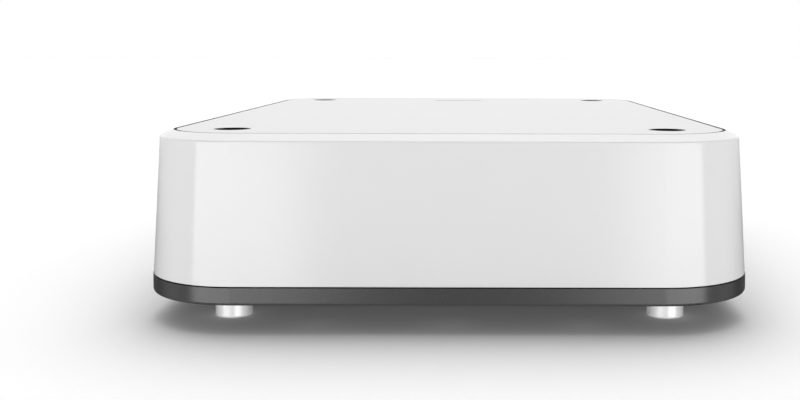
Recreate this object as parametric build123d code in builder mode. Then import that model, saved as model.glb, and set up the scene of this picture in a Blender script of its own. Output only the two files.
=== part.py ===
from build123d import *
import os

os.makedirs("parts", exist_ok=True)

# Marine power amplifier: a cast tray on four standoff feet, under a moulded cover with an inset top panel.
# The origin is under the middle of the body, where the feet stand. X runs across, Y along, Z up.

# Mounting pattern and outer body
hole_pitch_x = 150.0
hole_pitch_y = 224.0
edge_margin = 28.0
base_corner_r = 33.0
foot_d = 12.5
foot_h = 9.5
foot_chamfer = 0.5
spigot_d = 9.0
spigot_h = 2.4
screw_bore_d = 5.6

# Cast tray
base_edge_h = 5.8
base_floor_t = 3.4
base_rim_t = 5.0
base_edge_fillet = 0.9
boss_d = 17.0
boss_h = 6.6
sill_h = 6.6
groove_count = 10
groove_pitch = 12.0
groove_w = 4.0
groove_depth = 1.2
groove_l = 214.0

# Moulded cover
seam_gap = 0.4
cover_inset = 0.2
wall_h = 46.6
wall_lean = 2.6
wall_t = 2.6
rim_w = 4.5
rim_drop = 2.2
rim_edge_r = 0.6
deck_t = 2.8
frame_t = 2.2
window_l = 192.0
window_over_row = 6.7
gasket_w = 1.6
gasket_inset = 0.7

# Inset top panel
panel_t = 2.8
panel_groove_w = 1.0
panel_edge_r = 0.2
hole_edge_chamfer = 0.1
lens_l = 26.0
lens_w = 3.0
lens_back = 5.5
lens_flange = 1.6

# Mounting columns inside the body
column_d = 16.0
sleeve_d = 12.6
well_d = 10.6
column_floor_t = 4.0
sleeve_drop = 0.1

# Fits
press_gap = 0.05
slide_gap = 0.2
fit_gap = 0.1
screw_gap = 0.1

# Screws that hold the cover, from below
cover_post_d = 9.0
cover_post_pitch = 45.0
cover_post_back = 12.5
cover_screw_d = 3.4
cover_screw_head_d = 6.6
cover_screw_head_h = 1.9
cover_screw_l = 14.0

# Circuit board and its pillars
board_t = 1.6
board_gap = 6.5
board_end_gap = 12.0
board_corner_r = 3.0
pillar_across = 6.0
inner_screw_d = 2.9
inner_screw_head_d = 5.6
inner_screw_head_h = 1.8
inner_screw_l = 5.0
board_fix_x = 60.0
board_fix_y = 84.0

# Side panels and what they carry: pieces along a window stand on a grid that is a share of its length
window_grid = window_l / 24
panel_back = 9.0
side_panel_t = 2.5
side_panel_top_gap = 2.0
post_l = 8.0
post_t = 5.5
post_in = 5.0
row_low = 5.4
row_pitch = 12.5
side_screw_d = 2.9
side_screw_head_d = 5.4
side_screw_head_h = 1.7
side_screw_l = 6.5

# Phono sockets
rca_columns = 3
rca_pitch = 2 * window_grid
rca_y = -7.75 * window_grid
rca_body_gap = 3.0
rca_body_w = rca_pitch - rca_body_gap
rca_body_depth = 14.0
rca_shell_d = 8.3
rca_shell_t = 0.6
rca_shell_l = 10.0
rca_seat_d = 9.0
rca_ring_d = 10.6
rca_ring_l = 3.4
rca_core_l = 8.6
rca_core_hole_d = 3.2

# Level and filter controls
control_groups = 3
control_pitch = 3 * window_grid
control_y = window_grid
knob_spread = 11.0
knob_d = 9.0
knob_l = 6.6
knob_lift = 0.5
knob_flutes = 18
knob_flute_d = 0.9
knob_mark_w = 0.9
knob_mark_depth = 0.6
shaft_d = 4.0
shaft_l = 9.0
shaft_gap = 0.05
pot_w = 9.6
pot_depth = 9.5
bushing_d = 6.6
switch_l = 13.0
switch_h = 6.4
lever_l = 3.6
lever_h = 2.8
lever_out = 3.0
lever_depth = 4.6
lever_travel = 2.0
mode_switch_y = 7 * window_grid
led_d = 3.0
led_pitch = 7.0
led_out = 0.8
control_board_t = 1.6
control_board_end = 9.0

# Remote control socket
remote_y = 9.5 * window_grid
remote_w = 16.0
remote_h = 14.0
remote_depth = 18.0
remote_mouth_w = 11.8
remote_mouth_h = 7.0
remote_mouth_depth = 12.5
remote_key_w = 5.0
remote_key_h = 2.6
remote_out = 0.6

# Power terminals
power_y = -7.375 * window_grid
power_l = 6.25 * window_grid
power_h = 24.0
power_depth = 26.0
power_out = 6.4
terminal_pitch = 2 * window_grid
terminal_gap = 4.0
terminal_w = terminal_pitch - terminal_gap
terminal_h = 20.0
terminal_depth = 17.0
terminal_back = 1.2
terminal_low = 2.0
wire_bore_d = 8.6
wire_bore_depth = 14.0
wire_bore_up = 6.6
clamp_screw_d = 6.0
clamp_screw_l = 9.0
clamp_screw_up = 15.6
clamp_key_across = 3.0
clamp_key_depth = 3.0

# Speaker connectors
speaker_count = 3
speaker_pitch = 3.25 * window_grid
speaker_y = 1.5 * window_grid
speaker_ways = 4
way_pitch = 5.08
header_l = 22.4
header_h = 13.4
header_wall = 1.1
header_depth = 18.0
header_floor = 4.0
header_out = 0.6
header_pin_w = 1.2
header_pin_l = 7.5
plug_head_l = 21.6
plug_head_h = 14.0
plug_head_depth = 7.4
plug_depth_gap = 0.6
plug_wire_d = 3.8
plug_wire_depth = 6.4
plug_pin_clear = 0.35
plug_screw_d = 3.2
plug_screw_h = 3.0
plug_slot_w = 0.7
plug_slot_depth = 0.6
plug_edge_r = 0.4

# Blade fuses
fuse_y = 8.875 * window_grid
fuse_l = 19.0
fuse_t = 5.2
fuse_depth = 11.0
fuse_seat = 3.0
fuse_blade_w = 5.2
fuse_blade_t = 0.7
fuse_blade_l = 7.0
fuse_blade_spread = 13.4
fuse_holder_l = 24.0
fuse_holder_depth = 18.0
fuse_holder_h = 24.0
fuse_edge_r = 0.5
fuse_notch_w = 8.0
fuse_notch_depth = 1.6

# Heat sinks and the power stage
sink_l = 118.0
sink_t = 5.0
sink_h = 31.0
sink_flange_w = 12.0
sink_flange_t = 4.0
sink_gap = 2.0
sink_rib_t = 3.0
sink_rib_pitch = 28.0
sink_screw_pitch = 42.0
transistor_count = 5
transistor_pitch = 24.0
transistor_w = 10.2
transistor_t = 4.4
transistor_h = 15.0
transistor_up = 6.0
lead_w = 0.9
lead_t = 0.6
lead_pitch = 2.54
pad_t = 0.4
pad_margin = 1.0
clamp_bar_h = 6.0
clamp_bar_t = 2.2
clamp_bar_overhang = 5.0
clamp_hole_d = 3.4
clamp_bolt_d = 3.0
clamp_bolt_head_d = 5.6
clamp_bolt_head_h = 1.9
clamp_bolt_bite = 3.5

# Transformers, storage capacitors, inductors and chips
transformer_count = 2
transformer_pitch = 56.0
core_outer_d = 38.0
core_inner_d = 22.0
core_h = 14.0
winding_t = 3.0
winding_corner_r = 2.4
winding_x = 4.0
capacitor_d = 16.0
capacitor_h = 28.0
capacitor_rows = 4
capacitor_pitch = 20.0
capacitor_edge_gap = 41.0
capacitor_edge_r = 1.0
capacitor_vent_w = 0.8
capacitor_vent_depth = 0.4
inductor_w = 14.0
inductor_h = 12.0
inductor_count = 6
inductor_pitch = 18.0
inductor_edge_gap = 41.0
inductor_edge_r = 1.2
chip_l = 10.0
chip_w = 7.0
chip_h = 2.0
chip_edge_gap = 21.0
chip_count = 4
chip_pitch = 30.0

# Status light under the top panel
light_board_l = 42.0
light_board_w = 10.0
light_board_t = 1.2

# Heights and half sizes that follow from the sizes above
base_width = hole_pitch_x + 2 * edge_margin
base_length = hole_pitch_y + 2 * edge_margin
half_w = base_width / 2
half_l = base_length / 2
floor_z = foot_h + base_floor_t
base_top_z = foot_h + base_edge_h
boss_z = floor_z + boss_h
sill_z = floor_z + sill_h
cover_z = base_top_z + seam_gap
wall_top_z = cover_z + wall_h
top_z = wall_top_z + rim_drop
panel_z = top_z - panel_t
deck_z = panel_z - deck_t
board_z = floor_z + boss_h
board_top_z = board_z + board_t
low_row_z = board_top_z + row_low
high_row_z = low_row_z + row_pitch
window_top_z = high_row_z + window_over_row
side_panel_z = window_top_z + side_panel_top_gap
panel_x = half_w - panel_back
panel_in_x = panel_x - side_panel_t
board_half_w = panel_in_x - board_gap
board_half_l = hole_pitch_y / 2 - board_end_gap
tray_w = base_width - 2 * base_rim_t
tray_l = base_length - 2 * base_rim_t
cover_w = base_width - 2 * cover_inset
cover_l = base_length - 2 * cover_inset
cover_r = base_corner_r - cover_inset
cover_top_w = cover_w - 2 * wall_lean
cover_top_l = cover_l - 2 * wall_lean
cover_top_r = cover_r - wall_lean
recess_w = cover_top_w - 2 * rim_w
recess_l = cover_top_l - 2 * rim_w
recess_r = cover_top_r - rim_w
top_panel_w = recess_w - 2 * panel_groove_w
top_panel_l = recess_l - 2 * panel_groove_w
lens_y = hole_pitch_y / 2 - lens_back
post_y = window_l / 2 - post_in
cover_post_y = half_l - cover_post_back
sink_y = board_half_l + sink_gap
capacitor_x = board_half_w - capacitor_edge_gap
inductor_x = inductor_edge_gap - board_half_w
chip_x = board_half_w - chip_edge_gap
slot_l = lever_l + 2 * lever_travel + 2 * slide_gap
slot_h = lever_h + 2 * slide_gap

# Places that repeat
cover_post_points = [(n * cover_post_pitch, end * cover_post_y) for n in (-1, 0, 1) for end in (-1, 1)]
board_fix_points = [(x, y) for x in (-board_fix_x, board_fix_x) for y in (-board_fix_y, 0, board_fix_y)]
row_heights = (low_row_z, high_row_z)
rca_points = [
    (rca_y + (n - (rca_columns - 1) / 2) * rca_pitch, z) for n in range(rca_columns) for z in row_heights
]
group_ys = [control_y + (n - (control_groups - 1) / 2) * control_pitch for n in range(control_groups)]
knob_names = ["gain_knob", "filter_knob"]
knob_points = {
    f"{kind}_{n + 1}": (y + side * knob_spread / 2, high_row_z)
    for n, y in enumerate(group_ys)
    for kind, side in zip(knob_names, (-1, 1))
}
switch_points = {f"filter_switch_{n + 1}": (y, low_row_z) for n, y in enumerate(group_ys)}
switch_points["input_switch"] = (mode_switch_y, low_row_z)
led_points = [(mode_switch_y + side * led_pitch / 2, high_row_z) for side in (-1, 1)]
speaker_ys = [speaker_y + (n - (speaker_count - 1) / 2) * speaker_pitch for n in range(speaker_count)]
header_z = board_top_z + header_h / 2
way_offsets = [(n - (speaker_ways - 1) / 2) * way_pitch for n in range(speaker_ways)]
sink_screw_y = sink_y + sink_t + sink_flange_w / 2
flange_points = [(side * sink_screw_pitch / 2, end * sink_screw_y) for side in (-1, 1) for end in (-1, 1)]
side_screw_points = [(side * post_y, z) for side in (-1, 1) for z in row_heights]
terminal_ys = [power_y + n * terminal_pitch for n in (-1, 0, 1)]
transistor_xs = [(n - (transistor_count - 1) / 2) * transistor_pitch for n in range(transistor_count)]
clamp_xs = [(n - (transistor_count - 2) / 2) * transistor_pitch for n in range(transistor_count - 1)]

# Tray: floor, rim, mounting bosses, sills under the windows and posts behind the side panels
with BuildPart() as base_plate:
    with BuildSketch(Plane.XY.offset(foot_h)):
        RectangleRounded(base_width, base_length, base_corner_r)
    extrude(amount=base_edge_h)
    fillet(base_plate.faces().sort_by(Axis.Z)[0].edges(), base_edge_fillet)
    with BuildSketch(Plane.XY.offset(floor_z)):
        RectangleRounded(tray_w, tray_l, base_corner_r - base_rim_t)
    extrude(amount=base_edge_h, mode=Mode.SUBTRACT)
    with BuildSketch(Plane.XY.offset(floor_z)):
        with GridLocations(hole_pitch_x, hole_pitch_y, 2, 2):
            Circle(boss_d / 2)
    extrude(amount=boss_h)
    with BuildSketch(Plane.XY.offset(floor_z)):
        with Locations(*cover_post_points):
            Circle(cover_post_d / 2)
    extrude(amount=base_top_z - floor_z)
    sill_in = panel_x + slide_gap
    sill_out = half_w - cover_inset - wall_lean * (sill_z - cover_z) / wall_h
    with BuildSketch(Plane.XY.offset(floor_z)):
        for side in (-1, 1):
            with Locations((side * (sill_in + sill_out) / 2, 0)):
                Rectangle(sill_out - sill_in, window_l - 2 * slide_gap)
    extrude(amount=sill_h)
    with BuildSketch(Plane.XY.offset(floor_z)):
        with GridLocations(2 * panel_in_x - post_t, 2 * post_y, 2, 2):
            Rectangle(post_t, post_l)
    extrude(amount=window_top_z - floor_z)
    with BuildSketch(Plane.XY.offset(foot_h)):
        with GridLocations(hole_pitch_x, hole_pitch_y, 2, 2):
            Circle(screw_bore_d / 2)
    extrude(amount=boss_z - foot_h, mode=Mode.SUBTRACT)
    with BuildSketch(Plane.XY.offset(foot_h)):
        with GridLocations(hole_pitch_x, hole_pitch_y, 2, 2):
            Circle(spigot_d / 2 + press_gap)
    extrude(amount=spigot_h, mode=Mode.SUBTRACT)
    with BuildSketch(Plane.XY.offset(foot_h)):
        with GridLocations(groove_pitch, 1, groove_count, 1):
            SlotOverall(groove_l, groove_w, rotation=90)
    extrude(amount=groove_depth, mode=Mode.SUBTRACT)
    with BuildSketch(Plane.XY.offset(floor_z)):
        with Locations(*flange_points):
            Circle(inner_screw_d / 2 + press_gap)
    extrude(amount=-(inner_screw_l - sink_flange_t), mode=Mode.SUBTRACT)
    with Locations(Plane.XY.offset(foot_h).rotated((180, 0, 0))):
        with Locations(*cover_post_points):
            CounterBoreHole(
                cover_screw_d / 2 + screw_gap,
                cover_screw_head_d / 2 + screw_gap,
                cover_screw_head_h,
                base_edge_h,
            )
    for side in (-1, 1):
        with BuildSketch(Plane.YZ.offset(side * panel_in_x)):
            with Locations(*side_screw_points):
                Circle(side_screw_d / 2 + screw_gap)
        extrude(amount=-side * side_screw_l, mode=Mode.SUBTRACT)
base_plate.part.label = "base_plate"
export_step(base_plate.part, "parts/base_plate.step")

# Standoff feet, each with a spigot in the tray and a through bore for the mounting screw
with BuildPart() as mounting_feet:
    with BuildSketch(Plane.XY):
        with GridLocations(hole_pitch_x, hole_pitch_y, 2, 2):
            Circle(foot_d / 2)
    extrude(amount=foot_h)
    chamfer(mounting_feet.faces().group_by(Axis.Z)[0].edges(), foot_chamfer)
    with BuildSketch(Plane.XY.offset(foot_h)):
        with GridLocations(hole_pitch_x, hole_pitch_y, 2, 2):
            Circle(spigot_d / 2)
    extrude(amount=spigot_h)
    with BuildSketch(Plane.XY):
        with GridLocations(hole_pitch_x, hole_pitch_y, 2, 2):
            Circle(screw_bore_d / 2)
    extrude(amount=foot_h + spigot_h, mode=Mode.SUBTRACT)
mounting_feet.part.label = "mounting_feet"
export_step(mounting_feet.part, "parts/mounting_feet.step")

# Hollow of the cover, less the frames that stay around the side windows
with BuildPart() as cover_hollow:
    for z, lean in ((cover_z, 0), (deck_z, wall_lean * (deck_z - cover_z) / wall_h)):
        with BuildSketch(Plane.XY.offset(z)):
            inset = wall_t + lean
            RectangleRounded(cover_w - 2 * inset, cover_l - 2 * inset, cover_r - inset)
    loft(ruled=True)
    with BuildSketch(Plane.XY.offset(cover_z)):
        for side in (-1, 1):
            with Locations((side * (panel_x + slide_gap + panel_back / 2), 0)):
                Rectangle(panel_back, window_l + 2 * frame_t)
    extrude(amount=window_top_z + frame_t - cover_z, mode=Mode.SUBTRACT)
    with BuildSketch(Plane.XY.offset(cover_z)):
        with Locations(*cover_post_points):
            Circle(cover_post_d / 2)
    extrude(amount=deck_z - cover_z, mode=Mode.SUBTRACT)

# Cover: leaning walls, sloped rim, recess for the top panel, open notches for the side panels
with BuildPart() as top_cover:
    with BuildSketch(Plane.XY.offset(cover_z)):
        RectangleRounded(cover_w, cover_l, cover_r)
    with BuildSketch(Plane.XY.offset(wall_top_z)):
        RectangleRounded(cover_top_w, cover_top_l, cover_top_r)
    loft(ruled=True)
    with BuildSketch(Plane.XY.offset(wall_top_z)):
        RectangleRounded(cover_top_w, cover_top_l, cover_top_r)
    with BuildSketch(Plane.XY.offset(top_z)):
        RectangleRounded(recess_w, recess_l, recess_r)
    loft(ruled=True)
    shoulder = top_cover.edges().filter_by_position(Axis.Z, wall_top_z - fit_gap, wall_top_z + fit_gap)
    fillet(shoulder, rim_edge_r)
    add(cover_hollow.part, mode=Mode.SUBTRACT)
    with BuildSketch(Plane.XY.offset(panel_z)):
        RectangleRounded(recess_w, recess_l, recess_r)
    extrude(amount=panel_t, mode=Mode.SUBTRACT)
    with BuildSketch(Plane.XY.offset(cover_z)):
        for side in (-1, 1):
            with Locations((side * (panel_x + panel_back), 0)):
                Rectangle(2 * panel_back, window_l)
    extrude(amount=window_top_z - cover_z, mode=Mode.SUBTRACT)
    with BuildSketch(Plane.XY.offset(deck_z)):
        with GridLocations(hole_pitch_x, hole_pitch_y, 2, 2):
            Circle(column_d / 2 + press_gap)
        with Locations((0, lens_y)):
            Rectangle(lens_l + 2 * lens_flange + 2 * fit_gap, lens_w + 2 * lens_flange + 2 * fit_gap)
    extrude(amount=deck_t, mode=Mode.SUBTRACT)
    with BuildSketch(Plane.XY.offset(cover_z)):
        with Locations(*cover_post_points):
            Circle(cover_screw_d / 2 + press_gap)
    extrude(amount=cover_screw_l, mode=Mode.SUBTRACT)
top_cover.part.label = "top_cover"
export_step(top_cover.part, "parts/top_cover.step")

# Inset panel that closes the top
with BuildPart() as top_panel:
    with BuildSketch(Plane.XY.offset(panel_z)):
        RectangleRounded(top_panel_w, top_panel_l, recess_r - panel_groove_w)
    extrude(amount=panel_t)
    fillet(top_panel.faces().sort_by(Axis.Z)[-1].edges(), panel_edge_r)
    with BuildSketch(Plane.XY.offset(panel_z)):
        with GridLocations(hole_pitch_x, hole_pitch_y, 2, 2):
            Circle(sleeve_d / 2 + press_gap)
        with Locations((0, lens_y)):
            RectangleRounded(lens_l + 2 * fit_gap, lens_w + 2 * fit_gap, lens_w / 4)
    extrude(amount=panel_t, mode=Mode.SUBTRACT)
    hole_rims = top_panel.faces().sort_by(Axis.Z)[-1].edges().filter_by(GeomType.CIRCLE)
    chamfer(hole_rims.filter_by(lambda rim: lens_w < rim.radius < foot_d), hole_edge_chamfer)
top_panel.part.label = "top_panel"
export_step(top_panel.part, "parts/top_panel.step")

# Columns over the tray's bosses: each passes through the deck, the top panel rests on its shoulder, and
# its sleeve lines the hole in the top
with BuildPart() as mounting_columns:
    with BuildSketch(Plane.XY.offset(boss_z)):
        with GridLocations(hole_pitch_x, hole_pitch_y, 2, 2):
            Circle(column_d / 2)
    extrude(amount=panel_z - boss_z)
    with BuildSketch(Plane.XY.offset(panel_z)):
        with GridLocations(hole_pitch_x, hole_pitch_y, 2, 2):
            Circle(sleeve_d / 2)
    extrude(amount=top_z - sleeve_drop - panel_z)
    with BuildSketch(Plane.XY.offset(boss_z + column_floor_t)):
        with GridLocations(hole_pitch_x, hole_pitch_y, 2, 2):
            Circle(well_d / 2)
    extrude(amount=top_z - boss_z, mode=Mode.SUBTRACT)
    with BuildSketch(Plane.XY.offset(boss_z)):
        with GridLocations(hole_pitch_x, hole_pitch_y, 2, 2):
            Circle(screw_bore_d / 2)
    extrude(amount=column_floor_t, mode=Mode.SUBTRACT)
mounting_columns.part.label = "mounting_columns"
export_step(mounting_columns.part, "parts/mounting_columns.step")

# Seals: two lengths between the tray's rim and the cover's edge, which stop at the sills, and a ring that
# fills the groove round the top panel
with BuildPart() as housing_seals:
    with BuildSketch(Plane.XY.offset(base_top_z)):
        outer = cover_inset + gasket_inset
        RectangleRounded(base_width - 2 * outer, base_length - 2 * outer, base_corner_r - outer)
        inner = outer + gasket_w
        RectangleRounded(
            base_width - 2 * inner, base_length - 2 * inner, base_corner_r - inner, mode=Mode.SUBTRACT
        )
        Rectangle(base_width, window_l, mode=Mode.SUBTRACT)
    extrude(amount=seam_gap)
    with BuildSketch(Plane.XY.offset(panel_z)):
        RectangleRounded(recess_w, recess_l, recess_r)
        RectangleRounded(top_panel_w, top_panel_l, recess_r - panel_groove_w, mode=Mode.SUBTRACT)
    extrude(amount=panel_t)
housing_seals.part.label = "housing_seals"
export_step(housing_seals.part, "parts/housing_seals.step")

# Screws from below, through the tray and into the cover's posts
with BuildPart() as cover_screws:
    with BuildSketch(Plane.XY.offset(foot_h)):
        with Locations(*cover_post_points):
            Circle(cover_screw_head_d / 2)
            RegularPolygon(cover_screw_d / 3, 6, mode=Mode.SUBTRACT)
    extrude(amount=cover_screw_head_h)
    with BuildSketch(Plane.XY.offset(foot_h + cover_screw_head_h / 2)):
        with Locations(*cover_post_points):
            Circle(cover_screw_d / 2)
    extrude(amount=cover_screw_l)
cover_screws.part.label = "cover_screws"
export_step(cover_screws.part, "parts/cover_screws.step")

# Circuit board with its fixing holes
with BuildPart() as main_board:
    with BuildSketch(Plane.XY.offset(board_z)):
        RectangleRounded(2 * board_half_w, 2 * board_half_l, board_corner_r)
        with Locations(*board_fix_points):
            Circle(inner_screw_d / 2 + screw_gap, mode=Mode.SUBTRACT)
    extrude(amount=board_t)
main_board.part.label = "main_board"
export_step(main_board.part, "parts/main_board.step")

# Hexagonal pillars under the board
with BuildPart() as board_pillars:
    with BuildSketch(Plane.XY.offset(floor_z)):
        with Locations(*board_fix_points):
            RegularPolygon(pillar_across / 2, 6, major_radius=False)
            Circle(inner_screw_d / 2 + press_gap, mode=Mode.SUBTRACT)
    extrude(amount=board_z - floor_z)
board_pillars.part.label = "board_pillars"
export_step(board_pillars.part, "parts/board_pillars.step")

# Pan head screws that fix the board to the pillars and the heat sinks to the tray
with BuildPart() as inner_screws:
    for seat_z, points in ((board_top_z, board_fix_points), (floor_z + sink_flange_t, flange_points)):
        with BuildSketch(Plane.XY.offset(seat_z)):
            with Locations(*points):
                Circle(inner_screw_head_d / 2)
        extrude(amount=inner_screw_head_h)
        with BuildSketch(Plane.XY.offset(seat_z)):
            with Locations(*points):
                Circle(inner_screw_d / 2)
        extrude(amount=-inner_screw_l)
inner_screws.part.label = "inner_screws"
export_step(inner_screws.part, "parts/inner_screws.step")

# Heat sinks at both ends of the board: an upright, a flange on the tray's floor and ribs behind
with BuildPart() as heat_sinks:
    for end in (-1, 1):
        with BuildSketch(Plane.XY.offset(floor_z)):
            with Locations((0, end * (sink_y + sink_t / 2))):
                Rectangle(sink_l, sink_t)
        extrude(amount=sink_h)
        with BuildSketch(Plane.XY.offset(floor_z)):
            with Locations((0, end * (sink_y + sink_t + sink_flange_w / 2))):
                Rectangle(sink_l, sink_flange_w)
        extrude(amount=sink_flange_t)
        rib_l = sink_flange_w / 2
        with BuildSketch(Plane.XY.offset(floor_z)):
            with Locations((0, end * (sink_y + sink_t + rib_l / 2))):
                with GridLocations(sink_rib_pitch, 1, 4, 1):
                    Rectangle(sink_rib_t, rib_l)
        extrude(amount=sink_h)
        with BuildSketch(Plane.XY.offset(floor_z)):
            with Locations(*flange_points):
                Circle(inner_screw_d / 2 + press_gap)
        extrude(amount=sink_flange_t, mode=Mode.SUBTRACT)
        with BuildSketch(Plane.XZ.offset(-end * sink_y)):
            with Locations(*[(x, board_top_z + transistor_up + transistor_h / 2) for x in clamp_xs]):
                Circle(clamp_bolt_d / 2 + press_gap)
        extrude(amount=-end * clamp_bolt_bite, mode=Mode.SUBTRACT)
heat_sinks.part.label = "heat_sinks"
export_step(heat_sinks.part, "parts/heat_sinks.step")

# Thin thermal pads on the heat sinks' faces
pad_face_y = sink_y - pad_t
transistor_z = board_top_z + transistor_up + transistor_h / 2
with BuildPart() as thermal_pads:
    for end in (-1, 1):
        with BuildSketch(Plane.XZ.offset(-end * sink_y)):
            with Locations(*[(x, transistor_z) for x in transistor_xs]):
                Rectangle(transistor_w + pad_margin, transistor_h + pad_margin)
        extrude(amount=end * pad_t)
thermal_pads.part.label = "thermal_pads"
export_step(thermal_pads.part, "parts/thermal_pads.step")

# Power transistors, each with three leads down to the board
with BuildPart() as power_transistors:
    for end in (-1, 1):
        with BuildSketch(Plane.XZ.offset(-end * pad_face_y)):
            with Locations(*[(x, transistor_z) for x in transistor_xs]):
                Rectangle(transistor_w, transistor_h)
        extrude(amount=end * transistor_t)
        with BuildSketch(Plane.XY.offset(board_top_z)):
            with Locations(*[(x, end * (pad_face_y - transistor_t / 2)) for x in transistor_xs]):
                with GridLocations(lead_pitch, 1, 3, 1):
                    Rectangle(lead_w, lead_t)
        extrude(amount=transistor_up)
power_transistors.part.label = "power_transistors"
export_step(power_transistors.part, "parts/power_transistors.step")

# Bars that press the transistors to the heat sinks
clamp_y = pad_face_y - transistor_t
with BuildPart() as clamp_bars:
    for end in (-1, 1):
        with BuildSketch(Plane.XZ.offset(-end * clamp_y)):
            with Locations((0, transistor_z)):
                Rectangle(2 * (transistor_xs[-1] + clamp_bar_overhang), clamp_bar_h)
            with Locations(*[(x, transistor_z) for x in clamp_xs]):
                Circle(clamp_hole_d / 2, mode=Mode.SUBTRACT)
        extrude(amount=end * clamp_bar_t)
clamp_bars.part.label = "clamp_bars"
export_step(clamp_bars.part, "parts/clamp_bars.step")

# Bolts that draw the bars to the heat sinks, between the transistors
with BuildPart() as clamp_bolts:
    for end in (-1, 1):
        with BuildSketch(Plane.XZ.offset(-end * (clamp_y - clamp_bar_t))):
            with Locations(*[(x, transistor_z) for x in clamp_xs]):
                Circle(clamp_bolt_head_d / 2)
        extrude(amount=end * clamp_bolt_head_h)
        with BuildSketch(Plane.XZ.offset(-end * (clamp_y - clamp_bar_t))):
            with Locations(*[(x, transistor_z) for x in clamp_xs]):
                Circle(clamp_bolt_d / 2)
        extrude(amount=-end * (clamp_bar_t + transistor_t + pad_t + clamp_bolt_bite))
clamp_bolts.part.label = "clamp_bolts"
export_step(clamp_bolts.part, "parts/clamp_bolts.step")

# Ring cores of the supply transformers
transformer_points = [
    (winding_x, (n - (transformer_count - 1) / 2) * transformer_pitch) for n in range(transformer_count)
]
core_z = board_top_z + winding_t
with BuildPart() as transformer_cores:
    with BuildSketch(Plane.XY.offset(core_z)):
        with Locations(*transformer_points):
            Circle(core_outer_d / 2)
            Circle(core_inner_d / 2, mode=Mode.SUBTRACT)
    extrude(amount=core_h)
transformer_cores.part.label = "transformer_cores"
export_step(transformer_cores.part, "parts/transformer_cores.step")

# Wound copper around the cores
with BuildPart() as transformer_windings:
    with BuildSketch(Plane.XY.offset(board_top_z)):
        with Locations(*transformer_points):
            Circle(core_outer_d / 2 + winding_t)
            Circle(core_inner_d / 2 - winding_t, mode=Mode.SUBTRACT)
    extrude(amount=core_h + 2 * winding_t)
    rims = transformer_windings.edges().filter_by(GeomType.CIRCLE)
    fillet(rims, winding_corner_r)
    with BuildSketch(Plane.XY.offset(core_z)):
        with Locations(*transformer_points):
            Circle(core_outer_d / 2)
            Circle(core_inner_d / 2, mode=Mode.SUBTRACT)
    extrude(amount=core_h, mode=Mode.SUBTRACT)
transformer_windings.part.label = "transformer_windings"
export_step(transformer_windings.part, "parts/transformer_windings.step")

# Storage capacitors with a vent cross in each top
with BuildPart() as supply_capacitors:
    with BuildSketch(Plane.XY.offset(board_top_z)):
        with Locations((capacitor_x, 0)):
            with GridLocations(1, capacitor_pitch, 1, capacitor_rows):
                Circle(capacitor_d / 2)
    extrude(amount=capacitor_h)
    fillet(supply_capacitors.edges().filter_by(GeomType.CIRCLE), capacitor_edge_r)
    with BuildSketch(Plane.XY.offset(board_top_z + capacitor_h)):
        with Locations((capacitor_x, 0)):
            with GridLocations(1, capacitor_pitch, 1, capacitor_rows):
                Rectangle(capacitor_d / 2, capacitor_vent_w)
                Rectangle(capacitor_vent_w, capacitor_d / 2)
    extrude(amount=-capacitor_vent_depth, mode=Mode.SUBTRACT)
supply_capacitors.part.label = "supply_capacitors"
export_step(supply_capacitors.part, "parts/supply_capacitors.step")

# Output filter inductors
with BuildPart() as output_inductors:
    with BuildSketch(Plane.XY.offset(board_top_z)):
        with Locations((inductor_x, 0)):
            with GridLocations(1, inductor_pitch, 1, inductor_count):
                RectangleRounded(inductor_w, inductor_w, inductor_edge_r)
    extrude(amount=inductor_h)
    fillet(output_inductors.faces().group_by(Axis.Z)[-1].edges(), inductor_edge_r / 2)
output_inductors.part.label = "output_inductors"
export_step(output_inductors.part, "parts/output_inductors.step")

# Signal chips
with BuildPart() as signal_chips:
    with BuildSketch(Plane.XY.offset(board_top_z)):
        with Locations((chip_x, 0)):
            with GridLocations(1, chip_pitch, 1, chip_count):
                Rectangle(chip_l, chip_w)
    extrude(amount=chip_h)
signal_chips.part.label = "signal_chips"
export_step(signal_chips.part, "parts/signal_chips.step")

# Input panel, in the window on the right
with BuildPart() as input_panel:
    with BuildSketch(Plane.YZ.offset(panel_in_x)):
        with Locations((0, (floor_z + side_panel_z) / 2)):
            Rectangle(window_l + frame_t, side_panel_z - floor_z)
        with Locations(*side_screw_points):
            Circle(side_screw_d / 2 + screw_gap, mode=Mode.SUBTRACT)
        with Locations(*rca_points):
            Circle(rca_ring_d / 2 + fit_gap, mode=Mode.SUBTRACT)
        with Locations(*knob_points.values()):
            Circle(bushing_d / 2 + fit_gap, mode=Mode.SUBTRACT)
        with Locations(*switch_points.values()):
            Rectangle(slot_l + 2 * slide_gap, slot_h + 2 * slide_gap, mode=Mode.SUBTRACT)
        with Locations(*led_points):
            Circle(led_d / 2 + fit_gap, mode=Mode.SUBTRACT)
        with Locations((remote_y, board_top_z + remote_h / 2)):
            Rectangle(remote_w + 2 * fit_gap, remote_h + 2 * fit_gap, mode=Mode.SUBTRACT)
    extrude(amount=side_panel_t)
input_panel.part.label = "input_panel"
export_step(input_panel.part, "parts/input_panel.step")

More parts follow.
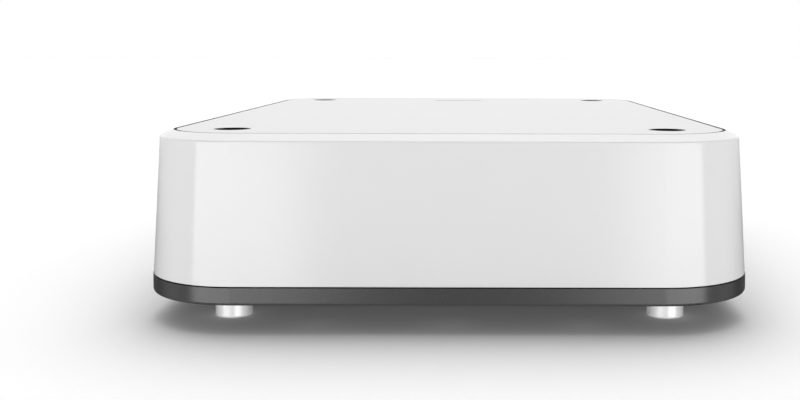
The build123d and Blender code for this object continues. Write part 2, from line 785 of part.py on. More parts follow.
# Output panel, in the window on the left
power_z = board_top_z + power_h / 2
fuse_holder_z = board_top_z + fuse_holder_h / 2
with BuildPart() as output_panel:
    with BuildSketch(Plane.YZ.offset(-panel_x)):
        with Locations((0, (floor_z + side_panel_z) / 2)):
            Rectangle(window_l + frame_t, side_panel_z - floor_z)
        with Locations(*side_screw_points):
            Circle(side_screw_d / 2 + screw_gap, mode=Mode.SUBTRACT)
        with Locations((power_y, power_z)):
            Rectangle(power_l + 2 * fit_gap, power_h + 2 * fit_gap, mode=Mode.SUBTRACT)
        with Locations(*[(y, header_z) for y in speaker_ys]):
            Rectangle(header_l + 2 * fit_gap, header_h + 2 * fit_gap, mode=Mode.SUBTRACT)
        with Locations((fuse_y, fuse_holder_z)):
            Rectangle(fuse_holder_l + 2 * fit_gap, fuse_holder_h + 2 * fit_gap, mode=Mode.SUBTRACT)
    extrude(amount=side_panel_t)
output_panel.part.label = "output_panel"
export_step(output_panel.part, "parts/output_panel.step")

# Screws that fix both side panels to the tray's posts
with BuildPart() as side_screws:
    for side in (-1, 1):
        with BuildSketch(Plane.YZ.offset(side * panel_x)):
            with Locations(*side_screw_points):
                Circle(side_screw_head_d / 2)
                RegularPolygon(side_screw_d / 2, 6, mode=Mode.SUBTRACT)
        extrude(amount=side * side_screw_head_h)
        with BuildSketch(Plane.YZ.offset(side * (panel_x + side_screw_head_h / 2))):
            with Locations(*side_screw_points):
                Circle(side_screw_d / 2)
        extrude(amount=-side * (side_screw_l + side_screw_head_h / 2))
side_screws.part.label = "side_screws"
export_step(side_screws.part, "parts/side_screws.step")

# Bodies of the phono sockets, one block for each pair
rca_top = high_row_z + rca_ring_d / 2
with BuildPart() as rca_bodies:
    with BuildSketch(Plane.YZ.offset(panel_in_x)):
        with Locations((rca_y, (board_top_z + rca_top) / 2)):
            with GridLocations(rca_pitch, 1, rca_columns, 1):
                Rectangle(rca_body_w, rca_top - board_top_z)
    extrude(amount=-rca_body_depth)
rca_bodies.part.label = "rca_bodies"
export_step(rca_bodies.part, "parts/rca_bodies.step")

# Plated outer shells of the phono sockets, each with a thicker seat in its ring
with BuildPart() as rca_shells:
    with BuildSketch(Plane.YZ.offset(panel_in_x)):
        with Locations(*rca_points):
            Circle(rca_shell_d / 2)
    extrude(amount=rca_shell_l)
    with BuildSketch(Plane.YZ.offset(panel_in_x)):
        with Locations(*rca_points):
            Circle(rca_seat_d / 2)
    extrude(amount=rca_ring_l)
    with BuildSketch(Plane.YZ.offset(panel_in_x)):
        with Locations(*rca_points):
            Circle(rca_shell_d / 2 - rca_shell_t)
    extrude(amount=rca_shell_l, mode=Mode.SUBTRACT)
rca_shells.part.label = "rca_shells"
export_step(rca_shells.part, "parts/rca_shells.step")

# Coloured rings around the shells
with BuildPart() as rca_rings:
    with BuildSketch(Plane.YZ.offset(panel_in_x)):
        with Locations(*rca_points):
            Circle(rca_ring_d / 2)
            Circle(rca_seat_d / 2 + press_gap, mode=Mode.SUBTRACT)
    extrude(amount=rca_ring_l)
rca_rings.part.label = "rca_rings"
export_step(rca_rings.part, "parts/rca_rings.step")

# Insulators with the centre contact's hole
with BuildPart() as rca_cores:
    with BuildSketch(Plane.YZ.offset(panel_in_x)):
        with Locations(*rca_points):
            Circle(rca_shell_d / 2 - rca_shell_t - press_gap)
    extrude(amount=rca_core_l)
    with BuildSketch(Plane.YZ.offset(panel_in_x + rca_core_l)):
        with Locations(*rca_points):
            Circle(rca_core_hole_d / 2)
    extrude(amount=-(rca_core_l - rca_shell_t), mode=Mode.SUBTRACT)
rca_cores.part.label = "rca_cores"
export_step(rca_cores.part, "parts/rca_cores.step")

# Rotary potentiometers, each with a bushing through the panel
with BuildPart() as potentiometers:
    with BuildSketch(Plane.YZ.offset(panel_in_x)):
        with Locations(*knob_points.values()):
            Rectangle(pot_w, pot_w)
    extrude(amount=-pot_depth)
    with BuildSketch(Plane.YZ.offset(panel_in_x)):
        with Locations(*knob_points.values()):
            Circle(bushing_d / 2)
    extrude(amount=side_panel_t)
    with BuildSketch(Plane.YZ.offset(panel_x)):
        with Locations(*knob_points.values()):
            Circle(shaft_d / 2 + shaft_gap)
    extrude(amount=-(shaft_l + slide_gap), mode=Mode.SUBTRACT)
potentiometers.part.label = "potentiometers"
export_step(potentiometers.part, "parts/potentiometers.step")

# Knobs: a fluted grip with a marked face, on a round shaft
for name, (y, z) in knob_points.items():
    with BuildPart() as knob:
        with BuildSketch(Plane.YZ.offset(panel_x + knob_lift)):
            with Locations((y, z)):
                Circle(knob_d / 2)
                with PolarLocations(knob_d / 2, knob_flutes):
                    Circle(knob_flute_d / 2, mode=Mode.SUBTRACT)
        extrude(amount=knob_l)
        with BuildSketch(Plane.YZ.offset(panel_x + knob_lift + knob_l)):
            with Locations((y, z + knob_d / 4)):
                Rectangle(knob_mark_w, knob_d / 2)
        extrude(amount=-knob_mark_depth, mode=Mode.SUBTRACT)
        with BuildSketch(Plane.YZ.offset(panel_x + knob_lift)):
            with Locations((y, z)):
                Circle(shaft_d / 2)
        extrude(amount=-shaft_l)
    knob.part.label = name
    export_step(knob.part, f"parts/{name}.step")

# Frames of the slide switches, on the same upright board as the potentiometers
with BuildPart() as switch_frames:
    with BuildSketch(Plane.YZ.offset(panel_in_x)):
        with Locations(*switch_points.values()):
            Rectangle(switch_l, switch_h)
    extrude(amount=-pot_depth)
    with BuildSketch(Plane.YZ.offset(panel_in_x)):
        with Locations(*switch_points.values()):
            Rectangle(slot_l, slot_h)
    extrude(amount=-(lever_depth - side_panel_t + slide_gap), mode=Mode.SUBTRACT)
switch_frames.part.label = "switch_frames"
export_step(switch_frames.part, "parts/switch_frames.step")

# Levers of the slide switches, at the middle of their travel
for name, (y, z) in switch_points.items():
    with BuildPart() as lever:
        with BuildSketch(Plane.YZ.offset(panel_x - lever_depth)):
            with Locations((y, z)):
                Rectangle(lever_l, lever_h)
        extrude(amount=lever_depth + lever_out)
        grip = lever.faces().sort_by(Axis.X)[-1]
        fillet(grip.edges(), lever_h / 8)
    lever.part.label = name
    export_step(lever.part, f"parts/{name}.step")

# Indicator lights on the input panel
with BuildPart() as indicator_lights:
    with BuildSketch(Plane.YZ.offset(panel_in_x - pot_depth)):
        with Locations(*led_points):
            Circle(led_d / 2)
    extrude(amount=pot_depth + side_panel_t + led_out)
    fillet(indicator_lights.faces().group_by(Axis.X)[-1].edges(), led_out)
indicator_lights.part.label = "indicator_lights"
export_step(indicator_lights.part, "parts/indicator_lights.step")

# Upright board that carries the potentiometers, the switches and the indicator lights
control_start = group_ys[0] - knob_spread / 2 - control_board_end
control_stop = mode_switch_y + control_board_end
with BuildPart() as control_board:
    with BuildSketch(Plane.YZ.offset(panel_in_x - pot_depth)):
        with Locations(((control_start + control_stop) / 2, (board_top_z + window_top_z) / 2)):
            Rectangle(control_stop - control_start, window_top_z - board_top_z)
    extrude(amount=-control_board_t)
control_board.part.label = "control_board"
export_step(control_board.part, "parts/control_board.step")

# Socket for the remote level control's plug
remote_z = board_top_z + remote_h / 2
remote_front = panel_x + remote_out
with BuildPart() as remote_socket:
    with BuildSketch(Plane.YZ.offset(remote_front)):
        with Locations((remote_y, remote_z)):
            Rectangle(remote_w, remote_h)
    extrude(amount=-remote_depth)
    with BuildSketch(Plane.YZ.offset(remote_front)):
        with Locations((remote_y, remote_z)):
            Rectangle(remote_mouth_w, remote_mouth_h)
        with Locations((remote_y, remote_z - (remote_mouth_h + remote_key_h) / 2)):
            Rectangle(remote_key_w, remote_key_h)
    extrude(amount=-remote_mouth_depth, mode=Mode.SUBTRACT)
remote_socket.part.label = "remote_socket"
export_step(remote_socket.part, "parts/remote_socket.step")

# Housing of the power terminals, with a pocket for each contact
power_front = -(panel_x + power_out)
contact_front = power_front + terminal_back
contact_z = board_top_z + terminal_low + terminal_h / 2
with BuildPart() as power_housing:
    with BuildSketch(Plane.YZ.offset(power_front)):
        with Locations((power_y, power_z)):
            Rectangle(power_l, power_h)
    extrude(amount=power_depth)
    with BuildSketch(Plane.YZ.offset(power_front)):
        with Locations(*[(y, contact_z) for y in terminal_ys]):
            Rectangle(terminal_w + 2 * press_gap, terminal_h + 2 * press_gap)
    extrude(amount=terminal_back + terminal_depth, mode=Mode.SUBTRACT)
power_housing.part.label = "power_housing"
export_step(power_housing.part, "parts/power_housing.step")

# Contact blocks: a blind bore for the wire and a threaded hole for the clamp screw above it
with BuildPart() as power_contacts:
    with BuildSketch(Plane.YZ.offset(contact_front)):
        with Locations(*[(y, contact_z) for y in terminal_ys]):
            Rectangle(terminal_w, terminal_h)
    extrude(amount=terminal_depth)
    with BuildSketch(Plane.YZ.offset(contact_front)):
        with Locations(*[(y, board_top_z + terminal_low + wire_bore_up) for y in terminal_ys]):
            Circle(wire_bore_d / 2)
    extrude(amount=wire_bore_depth, mode=Mode.SUBTRACT)
    with BuildSketch(Plane.YZ.offset(contact_front)):
        with Locations(*[(y, board_top_z + terminal_low + clamp_screw_up) for y in terminal_ys]):
            Circle(clamp_screw_d / 2 + press_gap)
    extrude(amount=clamp_screw_l, mode=Mode.SUBTRACT)
power_contacts.part.label = "power_contacts"
export_step(power_contacts.part, "parts/power_contacts.step")

# Clamp screws with a hexagonal key hole
with BuildPart() as power_screws:
    with BuildSketch(Plane.YZ.offset(contact_front)):
        with Locations(*[(y, board_top_z + terminal_low + clamp_screw_up) for y in terminal_ys]):
            Circle(clamp_screw_d / 2)
    extrude(amount=clamp_screw_l)
    with BuildSketch(Plane.YZ.offset(contact_front)):
        with Locations(*[(y, board_top_z + terminal_low + clamp_screw_up) for y in terminal_ys]):
            RegularPolygon(clamp_key_across / 2, 6, major_radius=False)
    extrude(amount=clamp_key_depth, mode=Mode.SUBTRACT)
power_screws.part.label = "power_screws"
export_step(power_screws.part, "parts/power_screws.step")

# Open headers for the speaker plugs
header_front = -(panel_x + header_out)
cavity_depth = header_depth - header_floor
cavity_l = header_l - 2 * header_wall
cavity_h = header_h - 2 * header_wall
with BuildPart() as speaker_headers:
    with BuildSketch(Plane.YZ.offset(header_front)):
        with Locations(*[(y, header_z) for y in speaker_ys]):
            Rectangle(header_l, header_h)
    extrude(amount=header_depth)
    with BuildSketch(Plane.YZ.offset(header_front)):
        with Locations(*[(y, header_z) for y in speaker_ys]):
            Rectangle(cavity_l, cavity_h)
    extrude(amount=cavity_depth, mode=Mode.SUBTRACT)
speaker_headers.part.label = "speaker_headers"
export_step(speaker_headers.part, "parts/speaker_headers.step")

# Contact pins in the headers
with BuildPart() as header_pins:
    with BuildSketch(Plane.YZ.offset(header_front + cavity_depth)):
        with Locations(*[(y + way, header_z) for y in speaker_ys for way in way_offsets]):
            Rectangle(header_pin_w, header_pin_w)
    extrude(amount=-header_pin_l)
header_pins.part.label = "header_pins"
export_step(header_pins.part, "parts/header_pins.step")

# Speaker plugs, each with wire holes in front, pin holes behind and clamp screws on top
plug_seat_x = header_front - plug_depth_gap
plug_nose_x = header_front + cavity_depth - plug_depth_gap
plug_front_x = plug_seat_x - plug_head_depth
plug_screw_x = plug_front_x + plug_head_depth / 2
plug_top_z = header_z + plug_head_h / 2
for n, y in enumerate(speaker_ys):
    with BuildPart() as plug:
        with BuildSketch(Plane.YZ.offset(plug_seat_x)):
            with Locations((y, header_z)):
                Rectangle(plug_head_l, plug_head_h)
        extrude(amount=-plug_head_depth)
        fillet(plug.faces().sort_by(Axis.X)[0].edges(), plug_edge_r)
        with BuildSketch(Plane.YZ.offset(plug_seat_x)):
            with Locations((y, header_z)):
                Rectangle(cavity_l - 2 * slide_gap, cavity_h - 2 * slide_gap)
        extrude(amount=plug_nose_x - plug_seat_x)
        with BuildSketch(Plane.YZ.offset(plug_front_x)):
            with Locations(*[(y + way, header_z - plug_head_h / 6) for way in way_offsets]):
                Circle(plug_wire_d / 2)
        extrude(amount=plug_wire_depth, mode=Mode.SUBTRACT)
        with BuildSketch(Plane.YZ.offset(plug_nose_x)):
            with Locations(*[(y + way, header_z) for way in way_offsets]):
                Rectangle(header_pin_w + 2 * plug_pin_clear, header_pin_w + 2 * plug_pin_clear)
        extrude(amount=-header_pin_l, mode=Mode.SUBTRACT)
        with BuildSketch(Plane.XY.offset(plug_top_z)):
            with Locations(*[(plug_screw_x, y + way) for way in way_offsets]):
                Circle(plug_screw_d / 2 + press_gap)
        extrude(amount=-(plug_screw_h + plug_slot_depth), mode=Mode.SUBTRACT)
    plug.part.label = f"speaker_plug_{n + 1}"
    export_step(plug.part, f"parts/speaker_plug_{n + 1}.step")

    with BuildPart() as plug_screws:
        with BuildSketch(Plane.XY.offset(plug_top_z - plug_slot_depth)):
            with Locations(*[(plug_screw_x, y + way) for way in way_offsets]):
                Circle(plug_screw_d / 2)
        extrude(amount=-plug_screw_h)
        with BuildSketch(Plane.XY.offset(plug_top_z - plug_slot_depth)):
            with Locations(*[(plug_screw_x, y + way) for way in way_offsets]):
                Rectangle(plug_slot_w, plug_screw_d)
        extrude(amount=-plug_slot_depth, mode=Mode.SUBTRACT)
    plug_screws.part.label = f"plug_screws_{n + 1}"
    export_step(plug_screws.part, f"parts/plug_screws_{n + 1}.step")

# Holder for two blade fuses, one above the other
holder_front = -panel_x
blade_offsets = (-fuse_blade_spread / 2, fuse_blade_spread / 2)
with BuildPart() as fuse_holder:
    with BuildSketch(Plane.YZ.offset(holder_front)):
        with Locations((fuse_y, fuse_holder_z)):
            Rectangle(fuse_holder_l, fuse_holder_h)
    extrude(amount=fuse_holder_depth)
    with BuildSketch(Plane.YZ.offset(holder_front)):
        with Locations(*[(fuse_y, z) for z in row_heights]):
            Rectangle(fuse_l + 2 * slide_gap, fuse_t + 2 * slide_gap)
    extrude(amount=fuse_seat + slide_gap, mode=Mode.SUBTRACT)
    with BuildSketch(Plane.YZ.offset(holder_front + fuse_seat)):
        with Locations(*[(fuse_y + side, z) for z in row_heights for side in blade_offsets]):
            Rectangle(fuse_blade_w + 2 * slide_gap, fuse_blade_t + 2 * slide_gap)
    extrude(amount=fuse_blade_l + slide_gap, mode=Mode.SUBTRACT)
fuse_holder.part.label = "fuse_holder"
export_step(fuse_holder.part, "parts/fuse_holder.step")

# Blade fuses: a moulded body with a finger notch and two blades
for n, z in enumerate(row_heights):
    with BuildPart() as fuse:
        with BuildSketch(Plane.YZ.offset(holder_front + fuse_seat)):
            with Locations((fuse_y, z)):
                Rectangle(fuse_l, fuse_t)
        extrude(amount=-fuse_depth)
        fillet(fuse.faces().sort_by(Axis.X)[0].edges(), fuse_edge_r)
        with BuildSketch(Plane.YZ.offset(holder_front + fuse_seat - fuse_depth)):
            with Locations((fuse_y, z)):
                Rectangle(fuse_notch_w, fuse_t)
        extrude(amount=fuse_notch_depth, mode=Mode.SUBTRACT)
    fuse.part.label = f"fuse_{n + 1}"
    export_step(fuse.part, f"parts/fuse_{n + 1}.step")

    with BuildPart() as fuse_blades:
        with BuildSketch(Plane.YZ.offset(holder_front + fuse_seat)):
            with Locations(*[(fuse_y + side, z) for side in blade_offsets]):
                Rectangle(fuse_blade_w, fuse_blade_t)
        extrude(amount=fuse_blade_l)
    fuse_blades.part.label = f"fuse_blades_{n + 1}"
    export_step(fuse_blades.part, f"parts/fuse_blades_{n + 1}.step")

# Light bar that shows through the top panel, with a flange in the deck
with BuildPart() as status_lens:
    with BuildSketch(Plane.XY.offset(deck_z)):
        with Locations((0, lens_y)):
            Rectangle(lens_l + 2 * lens_flange, lens_w + 2 * lens_flange)
    extrude(amount=deck_t)
    with BuildSketch(Plane.XY.offset(panel_z)):
        with Locations((0, lens_y)):
            RectangleRounded(lens_l, lens_w, lens_w / 4)
    extrude(amount=panel_t - fit_gap)
status_lens.part.label = "status_lens"
export_step(status_lens.part, "parts/status_lens.step")

# Small board with the status light's lamps, bonded under the deck
with BuildPart() as light_board:
    with BuildSketch(Plane.XY.offset(deck_z)):
        with Locations((0, lens_y)):
            Rectangle(light_board_l, light_board_w)
    extrude(amount=-light_board_t)
light_board.part.label = "light_board"
export_step(light_board.part, "parts/light_board.step")
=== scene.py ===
import logging
import math
from dataclasses import dataclass
from enum import Enum
from typing import Callable, Iterable, Sequence, Union

import bmesh
import bpy
from mathutils import Matrix, Vector


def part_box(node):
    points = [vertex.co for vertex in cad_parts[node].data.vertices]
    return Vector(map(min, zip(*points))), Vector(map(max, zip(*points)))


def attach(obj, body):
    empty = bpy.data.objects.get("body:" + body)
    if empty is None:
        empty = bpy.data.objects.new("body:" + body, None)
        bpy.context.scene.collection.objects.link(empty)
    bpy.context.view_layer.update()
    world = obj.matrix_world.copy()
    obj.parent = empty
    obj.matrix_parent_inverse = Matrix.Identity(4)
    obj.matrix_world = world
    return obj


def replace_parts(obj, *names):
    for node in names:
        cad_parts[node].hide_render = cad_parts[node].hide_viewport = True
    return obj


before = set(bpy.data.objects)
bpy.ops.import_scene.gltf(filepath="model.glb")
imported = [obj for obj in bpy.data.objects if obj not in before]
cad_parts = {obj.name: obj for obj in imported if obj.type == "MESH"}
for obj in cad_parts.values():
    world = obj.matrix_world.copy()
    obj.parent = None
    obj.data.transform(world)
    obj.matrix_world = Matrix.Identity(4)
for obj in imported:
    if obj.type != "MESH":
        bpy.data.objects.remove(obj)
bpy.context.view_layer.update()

LOG = logging.getLogger("marine_amplifier")
MM = 0.001
HOUSING = "amplifier"
CREASE = math.radians(30.0)
FONT_SIZE = 1.4
INK_T = 0.03 * MM
SHARPEST_PULL = 0.3
Colour = tuple[float, float, float]
Point2 = tuple[float, float]
Points = Sequence[Point2]


class Side(Enum):
    """The long side of the housing that a connector panel looks out of."""

    INPUTS = 1.0
    OUTPUTS = -1.0


class Grain(Enum):
    """The way that a surface's lines run, as a factor on their cells along each axis."""

    ROUND_Z = (0.004, 0.004, 1.0)
    ROUND_X = (1.0, 0.004, 0.004)
    ALONG_Z = (1.0, 1.0, 0.004)
    FLOW_Y = (1.0, 0.3, 1.0)
    NONE = (1.0, 1.0, 1.0)


class Signal:
    """A node's output; arithmetic on it adds Math nodes to its material."""

    def __init__(self, graph: "Graph", socket: bpy.types.NodeSocket) -> None:
        """Wraps one output socket of a graph."""
        self.graph = graph
        self.socket = socket

    def _math(self, operation: str, other: "Operand", swapped: bool = False) -> "Signal":
        """Returns the result of a Math node, with the other operand second unless swapped."""
        first, second = (other, self) if swapped else (self, other)
        return self.graph.node("ShaderNodeMath", {"operation": operation}, {0: first, 1: second})

    def __add__(self, other: "Operand") -> "Signal":
        """Returns the sum."""
        return self._math("ADD", other)

    def __radd__(self, other: "Operand") -> "Signal":
        """Returns the sum, with the number first."""
        return self._math("ADD", other, swapped=True)

    def __sub__(self, other: "Operand") -> "Signal":
        """Returns the difference."""
        return self._math("SUBTRACT", other)

    def __rsub__(self, other: "Operand") -> "Signal":
        """Returns the difference, with the number first."""
        return self._math("SUBTRACT", other, swapped=True)

    def __mul__(self, other: "Operand") -> "Signal":
        """Returns the product."""
        return self._math("MULTIPLY", other)

    def __rmul__(self, other: "Operand") -> "Signal":
        """Returns the product, with the number first."""
        return self._math("MULTIPLY", other, swapped=True)

    def __pow__(self, other: "Operand") -> "Signal":
        """Returns the power."""
        return self._math("POWER", other)

    def __gt__(self, other: "Operand") -> "Signal":
        """Returns 1 where this is the greater, and 0 elsewhere."""
        return self._math("GREATER_THAN", other)

    def sine(self) -> "Signal":
        """Returns the sine."""
        return self._math("SINE", 0.0)

    def above(self, other: "Operand") -> "Signal":
        """Returns the greater of the two."""
        return self._math("MAXIMUM", other)

    def below(self, other: "Operand") -> "Signal":
        """Returns the lesser of the two."""
        return self._math("MINIMUM", other)


Operand = Union[Signal, float]


class Graph:
    """The node tree of a material or of the world, with a shader at its end."""

    def __init__(self, owner: Union[bpy.types.Material, bpy.types.World]) -> None:
        """Empties the tree and lays its output and its shader.

        Args:
            owner: The material, which gets a Principled shader, or the world, which gets a background.
        """
        owner.use_nodes = True
        self.tree = owner.node_tree
        self.tree.nodes.clear()
        world = isinstance(owner, bpy.types.World)
        self.output = self.tree.nodes.new("ShaderNodeOutputWorld" if world else "ShaderNodeOutputMaterial")
        self.shader = self.tree.nodes.new("ShaderNodeBackground" if world else "ShaderNodeBsdfPrincipled")
        self.tree.links.new(self.shader.outputs[0], self.output.inputs["Surface"])

    def node(self, kind: str, settings: dict, inputs: dict, output: Union[int, str] = 0) -> Signal:
        """Adds a node.

        Args:
            kind: The node's type.
            settings: The node's own settings, such as a Math node's operation.
            inputs: A value or a signal for each named or numbered socket.
            output: Which output to return.

        Returns:
            The chosen output.
        """
        made = self.tree.nodes.new(kind)
        for key, value in settings.items():
            setattr(made, key, value)
        for key, value in inputs.items():
            self.feed(made.inputs[key], value)
        return Signal(self, made.outputs[output])

    def feed(self, socket: bpy.types.NodeSocket, value: object) -> None:
        """Links a signal to a socket, or sets the socket to a value.

        Args:
            socket: The input socket.
            value: A signal, a number, a vector or a colour.
        """
        if isinstance(value, Signal):
            self.tree.links.new(value.socket, socket)
        elif socket.type == "RGBA":
            socket.default_value = (*value, 1.0)
        else:
            socket.default_value = value

    def place(self) -> Signal:
        """Returns the point on the piece, in metres, in the frame's own axes."""
        return self.node("ShaderNodeTexCoord", {}, {}, "Object")

    def rays(self) -> tuple[Signal, Signal]:
        """Tells apart the rays that reach a surface or the sky.

        Returns:
            1 for the camera's own rays, and 1 for those, reflections and views through something clear.
        """
        kinds = self.node("ShaderNodeLightPath", {}, {}).socket.node.outputs
        camera = Signal(self, kinds["Is Camera Ray"])
        seen = camera.above(Signal(self, kinds["Is Glossy Ray"]))
        return camera, seen.above(Signal(self, kinds["Is Transmission Ray"]))

    def grey(self, value: Signal) -> Signal:
        """Returns a colour as bright as the value."""
        return self.node("ShaderNodeVectorMath", {"operation": "SCALE"}, {0: (1.0, 1.0, 1.0), "Scale": value})

    def toward(self, arrow: Sequence[float]) -> Signal:
        """Returns how far the sky's direction goes along an arrow."""
        way = self.node("ShaderNodeTexCoord", {}, {}, "Generated")
        return self.node(
            "ShaderNodeVectorMath", {"operation": "DOT_PRODUCT"}, {0: way, 1: tuple(arrow)}, "Value"
        )

    def axes(self) -> tuple[Signal, ...]:
        """Returns the point's x, y and z."""
        split = self.node("ShaderNodeSeparateXYZ", {}, {"Vector": self.place()}).socket.node
        return tuple(Signal(self, output) for output in split.outputs)

    def noise(self, scale: float, detail: float = 2.0, stretch: Sequence[float] = (1, 1, 1)) -> Signal:
        """Returns noise about 0.5, from its cells per metre, its finer layers and a stretch on each axis."""
        spread = self.node(
            "ShaderNodeVectorMath", {"operation": "MULTIPLY"}, {0: self.place(), 1: tuple(stretch)}
        )
        return self.node("ShaderNodeTexNoise", {}, {"Vector": spread, "Scale": scale, "Detail": detail})

    def mix(self, share: Operand, first: Union[Signal, Colour], second: Union[Signal, Colour]) -> Signal:
        """Returns the first colour, mixed with a share of the second from 0 to 1."""
        return self.node("ShaderNodeMix", {"data_type": "RGBA"}, {0: share, 6: first, 7: second}, output=2)

    def bump(self, height: Signal, depth: float) -> None:
        """Feeds the shader's normal from a height of 0 to 1, where 1 is the depth in metres."""
        normal = self.node("ShaderNodeBump", {}, {"Height": height, "Distance": depth, "Strength": 1.0})
        self.feed(self.shader.inputs["Normal"], normal)

    def surface(self, **values: object) -> None:
        """Feeds each of the shader's sockets that is named, with _ for a space in its name."""
        for key, value in values.items():
            self.feed(self.shader.inputs[key.replace("_", " ")], value)


@dataclass(frozen=True)
class Finish:
    """A finish: what one kind of surface looks like."""

    name: str
    colour: Colour
    roughness: float

    def material(self) -> bpy.types.Material:
        """Makes the finish's material at the first call.

        Returns:
            The material.
        """
        title = f"{self.name}_finish"
        known = bpy.data.materials.get(title)
        if known is not None:
            return known
        material = bpy.data.materials.new(title)
        self.lay(Graph(material))
        material.diffuse_color = (*self.colour, 1.0)
        return material

    def lay(self, graph: Graph) -> None:
        """Builds the finish's nodes in a material's graph; each kind of finish has its own."""
        raise NotImplementedError

    def tinted(self, graph: Graph, share: Signal, amount: float) -> Signal:
        """Returns the colour, darker by the amount where the share is 0 and lighter where it is 1."""
        darker, lighter = ([min(1.0, c * (1.0 + way * amount)) for c in self.colour] for way in (-1, 1))
        return graph.mix(share, darker, lighter)

    def dulled(self, share: Signal, spread: float) -> Signal:
        """Returns the roughness, lower by half the spread where the share is 0 and higher where it is 1."""
        return self.roughness + (share - 0.5) * spread


@dataclass(frozen=True)
class Grained(Finish):
    """A surface, such as rubber, whose grain shows in its colour, its gloss and its height."""

    grain: Grain = Grain.NONE
    cells: float = 700.0
    layers: float = 4.0
    depth: float = 0.00004
    tint_spread: float = 0.3
    gloss_spread: float = 0.2
    metallic: float = 0.0
    ior: float = 1.5
    clearness: float = 0.0

    def lay(self, graph: Graph) -> None:
        """Builds the grain, which is flat where it has no depth.

        Args:
            graph: The material's graph.
        """
        grain = graph.noise(self.cells, self.layers, self.grain.value)
        colour, gloss = self.dress(graph, grain)
        graph.surface(
            Base_Color=colour,
            Metallic=self.metallic,
            Roughness=gloss,
            Transmission_Weight=self.clearness,
            IOR=self.ior,
        )
        if self.depth > 0.0:
            graph.bump(grain, self.depth)

    def dress(self, graph: Graph, grain: Signal) -> tuple[Signal, Signal]:
        """Returns the colour and the roughness, which both follow the grain."""
        return self.tinted(graph, grain, self.tint_spread), self.dulled(grain, self.gloss_spread)


@dataclass(frozen=True)
class PrintedInk(Grained):
    """Screen-printed ink with a slightly uneven cover."""

    cells: float = 1500.0
    layers: float = 2.0
    depth: float = 0.0
    tint_spread: float = 0.06
    gloss_spread: float = 0.15


@dataclass(frozen=True)
class TintedPlastic(Grained):
    """Translucent moulded plastic, whose grain is faint flow lines."""

    grain: Grain = Grain.FLOW_Y
    cells: float = 140.0
    layers: float = 3.0
    depth: float = 0.0
    tint_spread: float = 0.12
    gloss_spread: float = 0.08
    ior: float = 1.49
    clearness: float = 0.35


@dataclass(frozen=True)
class PowderCoat(Grained):
    """Textured powder coat on cast or sheet metal, whose grain is small paler wrinkles."""

    cells: float = 900.0
    depth: float = 0.00006
    tint_spread: float = 0.22
    gloss_spread: float = 0.25
    ior: float = 1.55
    wrinkle_share: float = 0.7
    cloud_cells: float = 35.0

    def dress(self, graph: Graph, grain: Signal) -> tuple[Signal, Signal]:
        """Returns the colour, which follows the wrinkles and a cloud over them, and the roughness."""
        cover = grain * self.wrinkle_share + graph.noise(self.cloud_cells, 2.0) * (1.0 - self.wrinkle_share)
        return self.tinted(graph, cover, self.tint_spread), self.dulled(grain, self.gloss_spread)


@dataclass(frozen=True)
class PairedPlastic(Grained):
    """Moulded plastic in two colours, one for each row of sockets."""

    cells: float = 1100.0
    layers: float = 3.0
    depth: float = 0.00002
    gloss_spread: float = 0.14
    upper: Colour = (0.76, 0.76, 0.74)
    border_z: float = 0.03275

    def dress(self, graph: Graph, grain: Signal) -> tuple[Signal, Signal]:
        """Returns the lower row's colour, or the upper row's above the border, and the roughness."""
        colour = graph.mix(graph.axes()[2] > self.border_z, self.colour, self.upper)
        return colour, self.dulled(grain, self.gloss_spread)


@dataclass(frozen=True)
class Clouded(Grained):
    """A surface with a fine grain, whose colour follows a faint cloud."""

    cloud_cells: float = 26.0
    cloud_gloss: float = 0.06

    def dress(self, graph: Graph, grain: Signal) -> tuple[Signal, Signal]:
        """Returns the colour, which follows the cloud, and the roughness, which follows both.

        Args:
            graph: The material's graph.
            grain: The grain.

        Returns:
            The colour and the roughness.
        """
        cloud = graph.noise(self.cloud_cells, 3.0)
        gloss = self.dulled(grain, self.gloss_spread) + (cloud - 0.5) * self.cloud_gloss
        return self.tinted(graph, cloud, self.tint_spread), gloss


@dataclass(frozen=True)
class MouldedPlastic(Clouded):
    """Moulded plastic, whose grain is fine and spark-eroded."""

    cells: float = 1400.0
    layers: float = 3.0
    depth: float = 0.00003
    tint_spread: float = 0.01
    gloss_spread: float = 0.12


@dataclass(frozen=True)
class WorkedMetal(Clouded):
    """Bare or plated metal, whose grain is turning or drawing lines and whose cloud is tarnish."""

    cells: float = 5200.0
    layers: float = 2.0
    depth: float = 0.000008
    tint_spread: float = 0.07
    gloss_spread: float = 0.16
    cloud_cells: float = 160.0
    cloud_gloss: float = 0.08
    metallic: float = 1.0


@dataclass(frozen=True)
class CircuitLaminate(Finish):
    """Circuit board: solder mask over tracks, with tinned pads."""

    track_pitch: float = 0.0022
    track_level: float = 0.35
    track_shift: float = 2.0
    pad_pitch: float = 0.0066
    pad_level: float = 0.93
    mask_depth: float = 0.00004
    mask_spread: float = 0.35
    track_height: float = 0.6
    wander_cells: float = 55.0
    gloss_spread: float = 0.1
    pad: Colour = (0.72, 0.70, 0.62)
    pad_metallic: float = 0.9

    def lay(self, graph: Graph) -> None:
        """Builds raised tracks under the mask and small round pads.

        Args:
            graph: The material's graph.
        """
        along_x, along_y, _ = graph.axes()
        wander = graph.noise(self.wander_cells, 1.0)
        wave = (along_x * (2 * math.pi / self.track_pitch) + (wander > 0.5) * self.track_shift).sine()
        track = wave > self.track_level
        pads = (along_y * (2 * math.pi / self.pad_pitch)).sine() * wave > self.pad_level
        graph.surface(
            Base_Color=graph.mix(pads, self.tinted(graph, track, self.mask_spread), self.pad),
            Metallic=pads * self.pad_metallic,
            Roughness=self.dulled(wander, self.gloss_spread),
        )
        graph.bump(track * self.track_height + pads * (1.0 - self.track_height), self.mask_depth)


